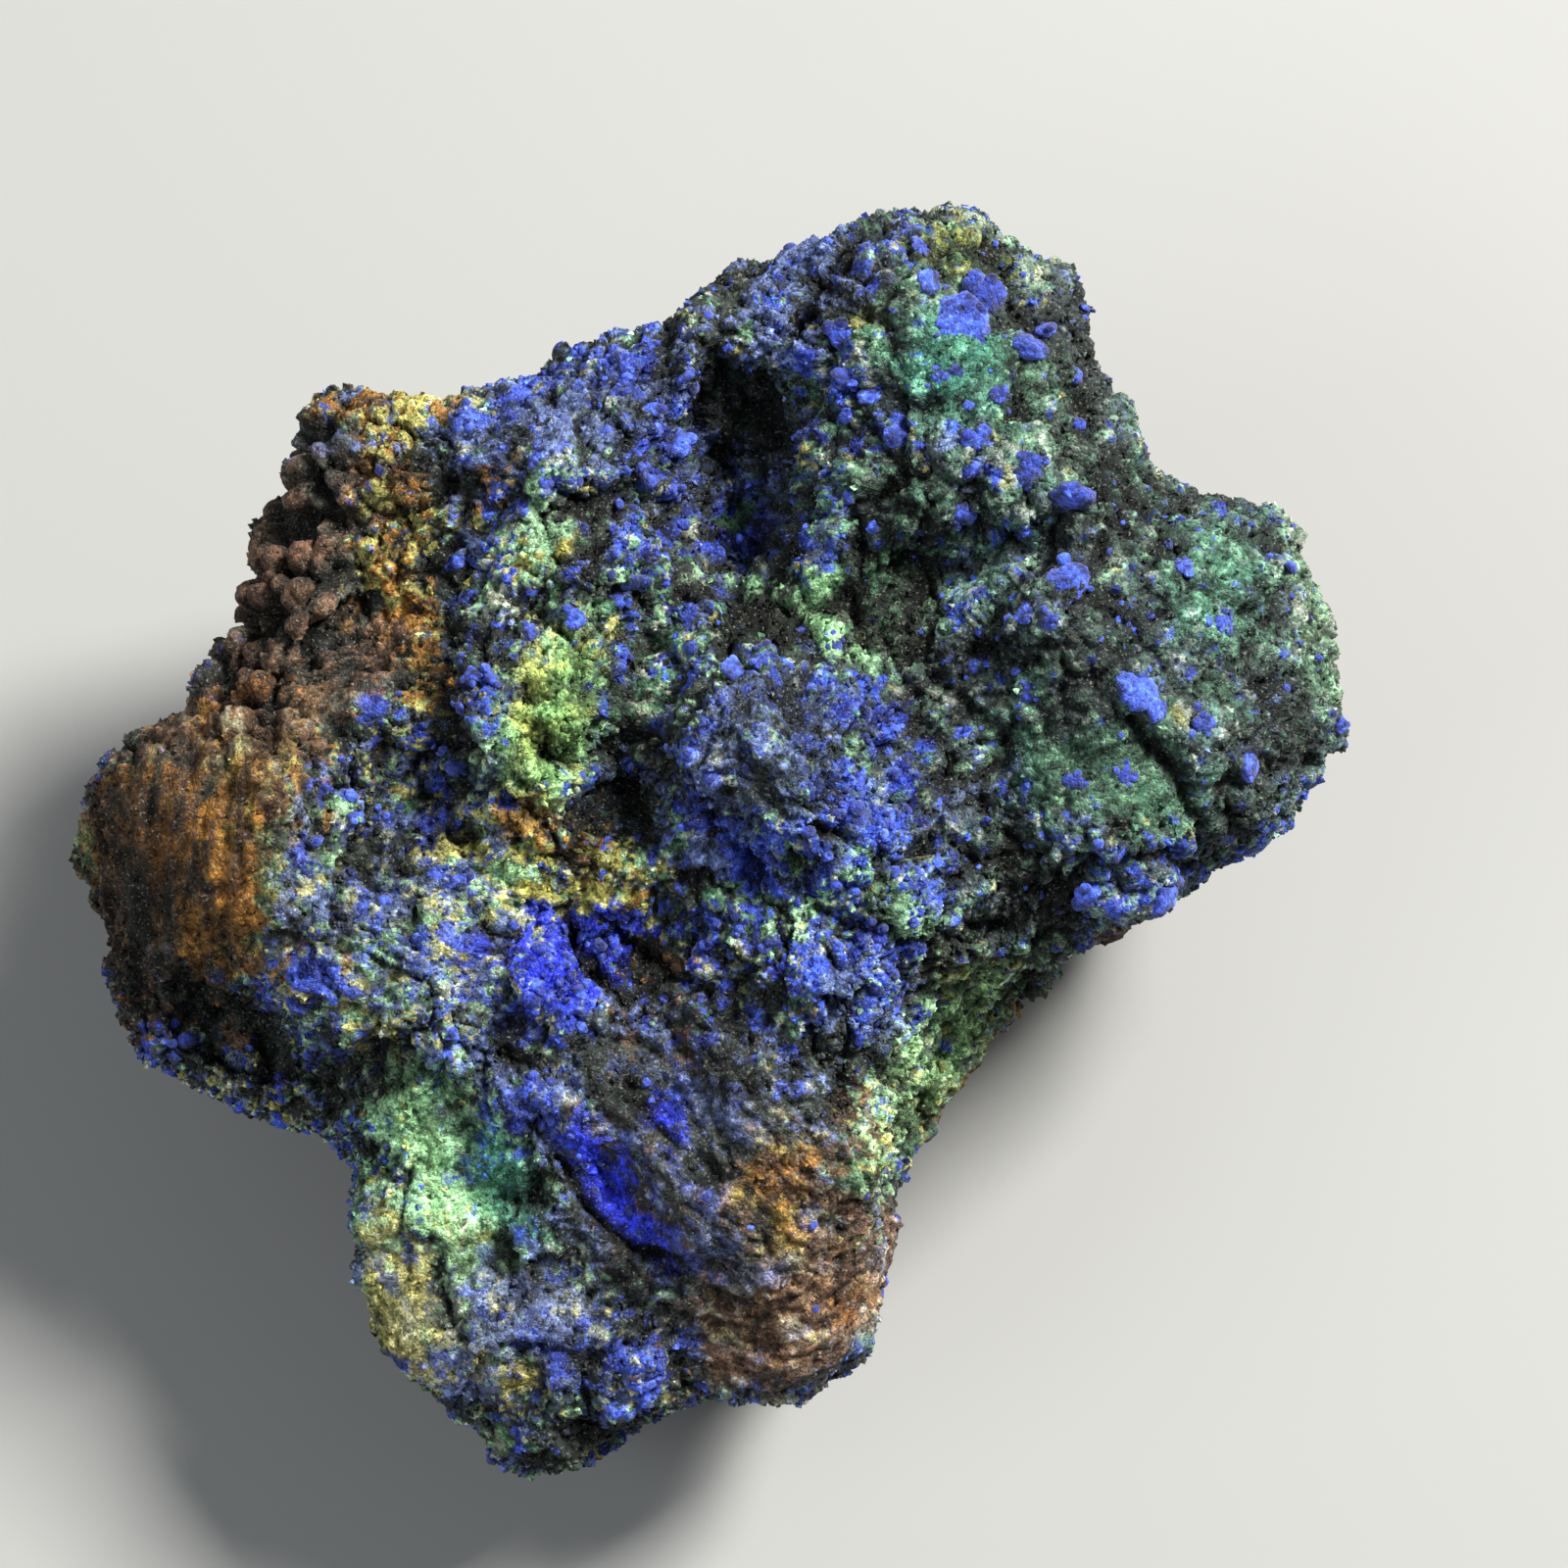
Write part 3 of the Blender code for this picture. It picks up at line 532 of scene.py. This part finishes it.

# Zones where all minerals are lighter or darker than elsewhere, by these factors of red, green and blue.
# Most give the crust's own tone; some are painted light or shade where a side faces away from the light or
# lies under a ledge. No colour passes LIGHTEST.
TONE_AND_LIGHT_ZONES = (
    (LIME_BANK, (0.92, 1.06, 0.64)),
    # painted light: the malachite bank, which faces away from the key light, is lightened
    (MALACHITE_BANK, (1.40, 1.56, 1.34)),
    (LOWER_CORNER, (1.24, 1.15, 1.10)),
    ((8.0, -7.5, 4.8, 2.5, -32), (1.25, 1.30, 1.30)),        # blue ridge
    ((7.0, 0.5, 4.5, 4.0, 0), (1.16, 1.28, 1.22)),           # bright blue right of the boulder
    ((20.0, 13.5, 17.0, 14.0, 0), (0.84, 0.86, 0.93)),       # right half
    (LOWER_PLATEAU, (0.86, 0.83, 0.88)),
    ((-7.4, -1.8, 5.6, 2.7, -22), (1.38, 1.38, 1.15)),       # rust and yellow
    ((-11.0, -25.0, 5.5, 5.0, 0), (1.13, 1.05, 0.95)),       # speckled bottom lobe
    (GRAPES, (0.92, 0.82, 0.74)),
    (LEFT_LOBE, (0.94, 0.88, 0.74)),
    # painted shade: the left lobe's side away from the light is darkened
    ((-29.0, -2.0, 7.0, 3.4, 80), (0.66, 0.62, 0.60)),       # its dark side
    ((3.5, -18.0, 2.4, 3.4, 0), (1.25, 1.22, 1.08)),         # orange spot
    # painted light: the flank that the ledge shades is lightened
    ((13.2, -11.0, 7.5, 3.2, 52), (1.55, 1.50, 1.25)),       # green flank under the ledge
    ((12.3, 23.4, 3.0, 2.8, 0), (0.70, 1.12, 1.30)),         # teal below the crest
    ((13.2, 29.3, 4.0, 1.5, -20), (0.62, 0.72, 0.55)),       # olive peak
    ((7.0, 11.6, 5.4, 3.4, 10), (1.15, 1.22, 1.00)),         # green valley
    ((-9.8, -17.6, 3.4, 1.4, -66), (0.62, 0.95, 1.20)),      # teal beside the malachite
    ((25.6, 12.4, 3.0, 2.8, 0), (0.90, 1.15, 1.22)),         # teal brow
)
LIGHTEST = 0.95

# What is added to azurite's red, green and blue, as shares of them, in the deep blue hollow and two vugs.
DEEPENING = (-0.35, -0.45, 0.4)
DEEP_BLUE = ((-6.3, -6.2, 5.8, 2.8, -8), (-4.4, -17.8, 5.0, 1.6, -56), (-2.1, -14.2, 1.7, 0.9, -50))


def mineral_tint(points, shares, hollow_shade):
    """One mineral for each point and its colour: all points in one cell of the nearest-lump kind take the
    mineral that the cell's chance picks from their shares, and cells are small or large by a cloud. The
    colour goes from the mineral's dark tone to its light one by two clouds and the cell's own chance, and is
    multiplied by the painted shade that it is given, darkest in hollows. In calm zones, and for all but
    azurite on the right and on the lime-green bank, it goes part of the way to the mean of all tones by their
    shares. The deep blue zones and the tone and light zones then change it."""
    warped = points + np.stack([0.16 * cloud(points, 0.4, seed) for seed in (71, 72, 73)], axis=1)
    small, large = (nearest_lump(warped, size, 140 + int(10 * size))[1] for size in CELL_SIZES)
    u, v, n = to_face(points)
    pick_large = cloud(points, 1.7, 74) > 0.05 + 0.35 * right_half(u)
    home = np.where(pick_large[:, None], large, small)
    chance = np.where(pick_large, fixed_chance(large, 75), fixed_chance(small, 76))
    running = np.cumsum(shares, axis=1)[:, :8]
    mineral = (chance[:, None] > running).sum(axis=1)
    light = 0.17 + 0.30 * cloud(points, 1.5, 77) + 0.30 * cloud(points, 0.36, 78)
    light = np.clip(light + 0.5 * fixed_chance(home, 79), 0.0, 1.0)[:, None]
    picked = TONES[mineral, 0] * (1.0 - light) + TONES[mineral, 1] * light
    mixed = (shares @ TONES[:, 0]) * (1.0 - light) + (shares @ TONES[:, 1]) * light
    matrix = np.where(mineral > 0, MATRIX_MIX * right_half(u) + LIME_MIX * patch(u, v, LIME_BANK), 0.0)
    smooth = np.maximum(SMOOTH_MIX * calm(u, v, n), matrix)[:, None]
    colour = (picked * (1.0 - smooth) + mixed * smooth) * hollow_shade[:, None]
    deep = np.where(mineral == 0, sum(patch(u, v, form) for form in DEEP_BLUE), 0.0)
    colour *= 1.0 + np.clip(deep, 0.0, 1.0)[:, None] * np.array(DEEPENING)
    for form, factors in TONE_AND_LIGHT_ZONES:
        colour *= 1.0 + patch(u, v, form)[:, None] * (np.array(factors) - 1.0)
    return mineral, np.minimum(colour, LIGHTEST)


def mesh_object(name, points, faces, material):
    """A smooth-shaded mesh object at the origin, from those points in mm that its faces use. Returns it and
    the numbers of those points."""
    used, corners = np.unique(faces, return_inverse=True)
    mesh = bpy.data.meshes.new(name)
    mesh.from_pydata(points[used] * MM, [], corners.reshape(faces.shape))
    mesh.polygons.foreach_set("use_smooth", np.ones(len(mesh.polygons), bool))
    mesh.materials.append(material)
    thing = bpy.data.objects.new(name, mesh)
    bpy.context.scene.collection.objects.link(thing)
    return thing, used


def paint(thing, colours, roughness):
    """Stores each point's colour, and its roughness as the fourth number, in the attribute that the material
    reads."""
    layer = thing.data.color_attributes.new("tint", "FLOAT_COLOR", "POINT")
    layer.data.foreach_set("color", np.column_stack([colours, roughness]).astype(np.float32).ravel())


class Shading:
    """Short ways to add nodes to one material. A number or a socket may be given for each input."""

    def __init__(self, name):
        self.material = bpy.data.materials.new(name)
        self.material.use_nodes = True
        self.tree = self.material.node_tree
        self.shader = self.tree.nodes["Principled BSDF"]

    def put(self, socket, value):
        """Joins a socket to the input, or sets the input to a number."""
        if isinstance(value, bpy.types.NodeSocket):
            self.tree.links.new(value, socket)
        else:
            socket.default_value = value

    def node(self, kind, settings=(), **inputs):
        """A node with its settings, and with its inputs given by name."""
        made = self.tree.nodes.new(kind)
        for key, value in dict(settings).items():
            setattr(made, key, value)
        for key, value in inputs.items():
            self.put(made.inputs[key.replace("_", " ")], value)
        return made

    def sums(self, operation, first, second=0.0):
        """One step of arithmetic on two values."""
        made = self.tree.nodes.new("ShaderNodeMath")
        made.operation = operation
        self.put(made.inputs[0], first)
        self.put(made.inputs[1], second)
        return made.outputs[0]

    def mix(self, share, first, second, blend="MIX"):
        """The first colour blended with the second by a share."""
        made = self.tree.nodes.new("ShaderNodeMix")
        made.data_type, made.blend_type = "RGBA", blend
        self.put(made.inputs[0], share)
        self.put(made.inputs[6], first)
        self.put(made.inputs[7], second)
        return made.outputs[2]

    def noise(self, places, size, detail=3.0):
        """Noise from 0 to 1, its coarsest lumps `size` mm across."""
        made = self.node("ShaderNodeTexNoise", Vector=places, Scale=1.0 / (size * MM), Detail=detail)
        return made.outputs["Fac"]

    def spread(self, value, low, high, new_low=0.0, new_high=1.0):
        """A value moved in proportion from one range to another, and held at the ends."""
        made = self.tree.nodes.new("ShaderNodeMapRange")
        for number, item in enumerate((value, low, high, new_low, new_high)):
            self.put(made.inputs[number], item)
        return made.outputs[0]


DUST = (0.50, 0.52, 0.44, 1.0)
GRAIN_ACROSS = 0.21
BUMP_STRENGTH, BUMP_HEIGHT = 0.9, 0.17
STONE_SHINE = 0.28


def mineral_finish(name, dust, sheen):
    """The painted tint, times fine noise of two sizes, times the own brightness of each grain 0.2 mm across,
    with specks of pale dust. The bump is a still finer noise less 0.8 times the distance from the grain's
    middle."""
    made = Shading(name)
    places = made.node("ShaderNodeTexCoord").outputs["Object"]
    tint = made.node("ShaderNodeAttribute", {"attribute_name": "tint"})
    grain = made.node("ShaderNodeTexVoronoi", Vector=places, Scale=1.0 / (GRAIN_ACROSS * MM))
    own = made.node("ShaderNodeSeparateColor", Color=grain.outputs["Color"]).outputs
    tone = made.spread(made.noise(places, 0.11, 4.0), 0.28, 0.72, 0.42, 1.62)
    tone = made.sums("MULTIPLY", tone, made.spread(made.noise(places, 0.55, 3.0), 0.32, 0.68, 0.62, 1.36))
    value = made.sums("MULTIPLY", tone, made.spread(own[0], 0.0, 1.0, 0.45, 1.65))
    grey = made.node("ShaderNodeCombineColor", Red=value, Green=value, Blue=value).outputs[0]
    colour = made.mix(1.0, tint.outputs["Color"], grey, "MULTIPLY")
    speck = made.spread(made.noise(places, 0.17, 3.0), 0.60, 0.68, 0.0, dust)
    made.put(made.shader.inputs["Base Color"], made.mix(speck, colour, DUST))
    glint = made.spread(own[1], 0.0, 0.2, 0.5, 1.0)
    made.put(made.shader.inputs["Roughness"], made.sums("MULTIPLY", tint.outputs["Alpha"], glint))
    made.shader.inputs["Specular IOR Level"].default_value = STONE_SHINE
    made.shader.inputs["Sheen Weight"].default_value = sheen
    rounded = made.sums("MULTIPLY", grain.outputs["Distance"], -0.8)
    rough = made.sums("ADD", made.noise(places, 0.08, 4.0), rounded)
    bump = made.node("ShaderNodeBump", Strength=BUMP_STRENGTH, Distance=BUMP_HEIGHT * MM, Height=rough)
    made.put(made.shader.inputs["Normal"], bump.outputs[0])
    return made.material


# Painted shade in deep places where hardly any light gets in, and on the left lobe's side away from the
# light.
PITS = (
    (1.2, 18.6, 3.2, 5.4, -10),       # deep pit at the top
    (4.2, 14.4, 3.2, 1.6, -4),        # hollow beside it
    (-25.0, -8.7, 4.4, 1.4, -40),     # cave under the left lobe
    (-3.2, 5.4, 1.0, 3.2, 5),         # crack beside the boulder
    (-12.0, -14.6, 1.6, 0.7, -60),    # chink in the malachite
    (-8.8, -18.8, 2.2, 0.8, -45),     # hollow by it
    (-8.3, -11.4, 1.4, 0.5, -40),     # nook above the clefts
    # painted shade on the left lobe's side away from the light, and at its foot
    (-29.4, -2.6, 7.0, 3.0, 78),      # the left lobe's dark side
    (-24.6, -6.4, 2.6, 1.4, 60),      # and its foot
)
SHADE_OF_PITS = 0.42
SHADE_OF_CLEFT, HALF_CLEFT = 0.9, 0.3


def pits(points):
    """The share of light lost at a place of the face that lies in a pit or in the long cleft, 0 to 0.9: the
    pits' patches added up, or exp(-(distance / half width)^2) from the cleft, whichever is more."""
    u, v = to_face(points)[:2]
    cleft = SHADE_OF_CLEFT * np.exp(-((line_distance(u, v, CLEFT) / HALF_CLEFT) ** 2))
    return np.maximum(cleft, SHADE_OF_PITS * np.clip(sum(patch(u, v, form) for form in PITS), 0.0, 1.0))


skin, skin_quads = fine_skin(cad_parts["specimen"], FINER)
skin_outward = outward(skin, skin_quads)
shown = to_face(skin)[2][skin_quads].mean(axis=1) > FINEST_ABOVE
face_quads, side_ends, at_border = in_four(skin_quads[shown], len(skin))
back_quads = skin_quads[~shown]


def finest(values):
    """Values at the skin's points, and their means at the new middles of the sides and of the quads."""
    return np.vstack([values, values[side_ends].mean(axis=1), values[skin_quads[shown]].mean(axis=1)])


crust_base = finest(skin)
crust_height = relief(crust_base)
crust_points = crust_base + finest(skin_outward) * crust_height[:, None]
border = len(skin) + np.flatnonzero(at_border)
crust_points[border] = crust_points[side_ends[at_border]].mean(axis=1)
crust_points[:, 2] = np.maximum(crust_points[:, 2], 0.0)
crust_normals = outward(crust_points, np.vstack([face_quads, back_quads]))
crust_shares = mineral_shares(crust_points, crust_height)
# Painted shade: the tint darkens where the crust sinks below the solid's face, and more in the pits and the
# cleft, and what stands out is lightened up to 1.15 times as painted light.
crust_hollow_shade = 1.15 * soft_step(crust_height, -0.36, 0.24) * (1.0 - pits(crust_points))
crust_tint = mineral_tint(crust_points, crust_shares, crust_hollow_shade)[1]
crust_finish = mineral_finish("mineral_crust", 0.30, 0.0)
to_the_left = crust_points[face_quads].mean(axis=1)[:, 0] < MIDDLE_SEAM
crust_pieces = (
    ("crust_left", face_quads[to_the_left]),
    ("crust_right", face_quads[~to_the_left]),
    ("crust_back", back_quads),
)
for piece_name, quads in crust_pieces:
    crust, used = mesh_object(piece_name, crust_points, quads, crust_finish)
    crust_roughness = 0.55 + 0.35 * fixed_chance(used[:, None] * np.array([1, 0, 0]), 81)
    paint(crust, crust_tint[used], crust_roughness)
    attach(crust, "root")
    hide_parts("specimen")

# Azurite balls: the velvety blue nodules, 1 to 2.5 mm across, that stand on the crust. Each is a rough flat
# lump with a few smaller ones grown into it. Those that catch the eye have their own places, as u, v and
# radius, and single buds grow wherever there is much azurite, and thinly over the right half.
BALLS = (
    (10.9, 29.6, 0.6), (11.4, 27.5, 0.8), (14.2, 26.9, 1.3), (12.8, 25.5, 1.5), (17.0, 25.5, 0.8),
    (16.4, 24.6, 1.0), (6.8, 25.2, 0.8), (7.1, 23.0, 0.6), (7.6, 22.7, 0.6), (8.5, 22.2, 0.7),
    (10.3, 30.5, 0.45), (11.8, 23.0, 0.6), (7.0, 20.9, 0.5), (9.9, 19.9, 0.75), (13.8, 19.5, 0.8),
    (13.5, 18.7, 0.6), (12.8, 16.0, 0.7), (16.0, 18.1, 1.1), (18.3, 16.5, 1.25), (14.8, 21.8, 0.5),
    (18.0, 12.5, 1.15), (21.0, 10.5, 1.15), (26.0, 10.5, 0.6), (21.8, 7.2, 1.3), (15.8, 11.1, 0.8),
    (17.0, 10.5, 0.6), (24.0, 13.5, 0.55), (25.0, 5.5, 0.6), (18.5, 2.5, 0.6), (21.0, 3.0, 0.6),
    (27.5, 3.5, 0.85), (16.0, 7.0, 0.6), (24.2, 8.0, 0.4), (12.8, 5.0, 0.5), (5.0, 10.2, 0.6),
    (6.5, 9.5, 0.6), (23.5, -3.4, 1.2), (19.0, -3.2, 0.7), (32.4, 5.5, 0.45), (19.4, 27.0, 0.4),
    (-1.5, 19.8, 0.9), (-2.6, 21.6, 0.6), (-1.7, 17.2, 0.7), (-3.0, 18.4, 0.55), (-0.8, 22.9, 0.5),
    (3.0, 9.0, 0.8), (1.6, 8.2, 0.7), (-6.4, 10.8, 0.6), (-3.4, 12.4, 0.7), (-8.6, 10.0, 0.6),
    (-11.6, 8.0, 0.5), (-10.5, 7.9, 0.6), (-12.2, 6.2, 0.45), (-4.2, 9.0, 0.5), (-17.4, 1.0, 0.5),
)
BALL_BUDS = 7
BALL_BUD_SHARE = (0.22, 0.48)
BUD_COUNT = 1500
BUD_RADIUS = (0.13, 0.40)
FRONT_ABOVE = -14.0
random = np.random.default_rng(29)


def strewn(count, wanted):
    """Random places on the crust: quads drawn by area times what is wanted there, and a point in each from
    two shares s and t of its sides. Returns places, outward directions and one corner's number."""
    all_quads = np.vstack([face_quads, back_quads])
    area = np.linalg.norm(quad_crosses(crust_points, all_quads), axis=1)
    total = np.cumsum(area * wanted[all_quads].mean(axis=1))
    quads = all_quads[np.searchsorted(total, random.random(count) * total[-1])]
    s, t = random.random((2, count, 1))
    corners = ((1 - s) * (1 - t), s * (1 - t), s * t, (1 - s) * t)
    places = sum(share * crust_points[quad] for share, quad in zip(corners, quads.T))
    directions = sum(share * crust_normals[quad] for share, quad in zip(corners, quads.T))
    return places, directions / np.linalg.norm(directions, axis=1, keepdims=True), quads[:, 0]


def round_form(rings, segments):
    """A closed unit ball: rings of points by latitude and longitude with a pole at each end, as points and
    triangles."""
    latitude = np.linspace(-math.pi / 2, math.pi / 2, rings + 1)[1:-1]
    longitude = np.arange(segments) * math.tau / segments
    up, turn = np.meshgrid(latitude, longitude, indexing="ij")
    belt = np.stack([np.cos(up) * np.cos(turn), np.cos(up) * np.sin(turn), np.sin(up)], axis=-1)
    belt = belt.reshape(-1, 3)
    points = np.vstack([belt, [[0, 0, -1], [0, 0, 1]]])
    number = np.arange(len(belt)).reshape(rings - 1, segments)
    after = np.roll(number, -1, axis=1)
    low, high = np.full(segments, len(belt)), np.full(segments, len(belt) + 1)
    faces = (
        np.stack([number[:-1], after[:-1], after[1:]], -1).reshape(-1, 3),
        np.stack([number[:-1], after[1:], number[1:]], -1).reshape(-1, 3),
        np.stack([after[0], number[0], low], -1),
        np.stack([number[-1], after[-1], high], -1),
    )
    return points, np.vstack(faces)


def turned_frames(directions):
    """A random right-handed frame for each direction, with its third axis along it."""
    aside = np.cross(directions, random.normal(size=directions.shape))
    aside /= np.linalg.norm(aside, axis=1, keepdims=True)
    return np.stack([aside, np.cross(directions, aside), directions], axis=1)


def face_places(spots):
    """The crust point nearest each (u, v) on the face, with a liking for what stands out: the least of
    distance - 0.15 n. Returns the points and the ways they face."""
    u, v, n = to_face(crust_points)
    front = np.flatnonzero(n > FRONT_ABOVE)
    rank = [np.argmin(np.hypot(u[front] - a, v[front] - b) - 0.15 * n[front]) for a, b in spots]
    chosen = front[rank]
    return crust_points[chosen], crust_normals[chosen]


def grow(name, form, places, directions, radii, colours, material, flatness, sunk, jitter):
    """Joins one copy of a form at each place into one piece on the crust: the form's points times the radius,
    in a frame turned to the direction, sunk by a share of the radius, and then pushed in or out from its
    middle by jitter times noise of two sizes. Fine noise mottles the colours too."""
    form_points, form_faces = form
    sizes = radii[:, None] * np.array([1.0, 1.0, flatness]) * random.uniform(0.85, 1.2, (len(places), 3))
    shapes = np.einsum("cpa,cab->cpb", form_points[None] * sizes[:, None, :], turned_frames(directions))
    middles = (places - directions * radii[:, None] * sunk)[:, None, :]
    there = (middles + shapes).reshape(-1, 3)
    loose = 1.0 + jitter * (cloud(there, 0.62, 301) + 0.9 * cloud(there, 0.27, 302))
    copies = (middles + shapes * loose.reshape(shapes.shape[:2])[:, :, None]).reshape(-1, 3)
    copies[:, 2] = np.maximum(copies[:, 2], 0.02)
    faces = (form_faces[None] + (np.arange(len(places)) * len(form_points))[:, None, None]).reshape(-1, 3)
    piece = mesh_object(name, copies, faces, material)[0]
    roughness = random.uniform(0.35, 0.9, len(places))
    mottle = 0.85 + 0.7 * cloud(copies, 0.5, 303)[:, None] + 0.5 * cloud(copies, 0.24, 304)[:, None]
    mottle = np.maximum(mottle, 0.15)
    copy_colours = np.repeat(colours, len(form_points), axis=0) * mottle
    paint(piece, copy_colours, np.repeat(roughness, len(form_points)))
    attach(piece, "root")
    return piece


def azurite_tint(count):
    """A random tone between azurite's dark and light ones for each of `count` buds."""
    light = 0.15 + 0.85 * random.random((count, 1))
    return TONES[0, 0] * (1.0 - light) + TONES[0, 1] * light


velvet = mineral_finish("azurite_velvet", 0.10, 0.2)
ball_spots = np.array(BALLS)
ball_places, ball_directions = face_places(ball_spots[:, :2])
ball_radii = ball_spots[:, 2]
bunch = np.repeat(np.arange(len(BALLS)), BALL_BUDS)
bunch_frames = turned_frames(ball_directions[bunch])
bunch_turn = math.tau * random.random(len(bunch))
bunch_reach = np.sqrt(random.random(len(bunch)))
bunch_spot = np.stack([np.cos(bunch_turn), np.sin(bunch_turn), np.full(len(bunch), 0.1)], axis=1)
bunch_spot *= bunch_reach[:, None]
bunch_offset = np.einsum("ca,cab->cb", bunch_spot, bunch_frames)
bunch_places = ball_places[bunch] + ball_radii[bunch, None] * bunch_offset
bunch_radii = ball_radii[bunch] * random.uniform(*BALL_BUD_SHARE, len(bunch))
grow("azurite_balls", round_form(16, 24), ball_places, ball_directions, 0.9 * ball_radii,
     azurite_tint(len(BALLS)), velvet, flatness=0.5, sunk=0.26, jitter=0.20)
grow("azurite_ball_buds", round_form(8, 11), bunch_places, ball_directions[bunch], bunch_radii,
     azurite_tint(len(bunch)), velvet, flatness=0.6, sunk=0.3, jitter=0.26)
crust_u, crust_v, crust_depth = to_face(crust_points)
crust_calm = calm(crust_u, crust_v, crust_depth)
bud_wanted = crust_shares[:, 0] ** 1.5 * (1.0 - crust_calm)
bud_wanted += 0.05 * right_half(crust_u) * (crust_depth > FINEST_ABOVE)
bud_places, bud_directions = strewn(BUD_COUNT, bud_wanted)[:2]
bud_radii = BUD_RADIUS[0] + (BUD_RADIUS[1] - BUD_RADIUS[0]) * random.random(BUD_COUNT) ** 2
grow("azurite_buds", round_form(5, 8), bud_places, bud_directions, bud_radii,
     azurite_tint(BUD_COUNT), velvet, flatness=0.7, sunk=0.2, jitter=0.36)

# Grains: the loose-looking coat of angular grains and crystal tips, 0.15 to 0.5 mm across, of every mineral.
# They are small eight-sided crystals, strewn all over and joined into one piece for each kind of mineral.
GRAIN_COUNT = 40000
MOST_IN_PIECE = 20000
GRAIN_RADIUS = (0.07, 0.25)
BACK_GRAINS = 0.3
GRAIN_FORM = (
    np.array([(1, 0, 0), (0, 1, 0), (-1, 0, 0), (0, -1, 0), (0, 0, 1), (0, 0, -1)], float),
    np.array([(0, 1, 4), (1, 2, 4), (2, 3, 4), (3, 0, 4), (1, 0, 5), (2, 1, 5), (3, 2, 5), (0, 3, 5)]),
)
GRAIN_PIECES = (
    ("azurite_grains", "azurite", ("azurite", "dull_azurite")),
    ("black_grains", "copper_ore", ("black",)),
    ("malachite_grains", "malachite", ("malachite", "mint", "pale")),
    ("limonite_grains", "limonite", ("yellow", "rust", "brown")),
)
grain_wanted = np.where(crust_depth > FRONT_ABOVE, 1.0, BACK_GRAINS) * (1.0 - 0.85 * crust_calm)
grain_places, grain_directions, grain_corner = strewn(GRAIN_COUNT, grain_wanted)
# Each grain takes the painted shade of the crust point beside it, varied at random.
grain_hollow_shade = crust_hollow_shade[grain_corner] * np.exp(0.3 * random.normal(size=GRAIN_COUNT))
grain_mineral, grain_tint = mineral_tint(grain_places, crust_shares[grain_corner], grain_hollow_shade)
grain_radii = GRAIN_RADIUS[0] + (GRAIN_RADIUS[1] - GRAIN_RADIUS[0]) * random.random(GRAIN_COUNT) ** 1.6
grain_lean = grain_directions + 0.6 * random.normal(size=grain_directions.shape)
grain_lean /= np.linalg.norm(grain_lean, axis=1, keepdims=True)
for piece_name, slot_name, members in GRAIN_PIECES:
    numbers = [MINERALS.index(member) for member in members]
    mine = np.flatnonzero(np.isin(grain_mineral, numbers))[:MOST_IN_PIECE]
    piece = grow(piece_name, GRAIN_FORM, grain_places[mine], grain_lean[mine], grain_radii[mine],
                 grain_tint[mine], crust_finish, flatness=1.1, sunk=0.15, jitter=0.3)
    piece.data.polygons.foreach_set("use_smooth", np.zeros(len(piece.data.polygons), bool))
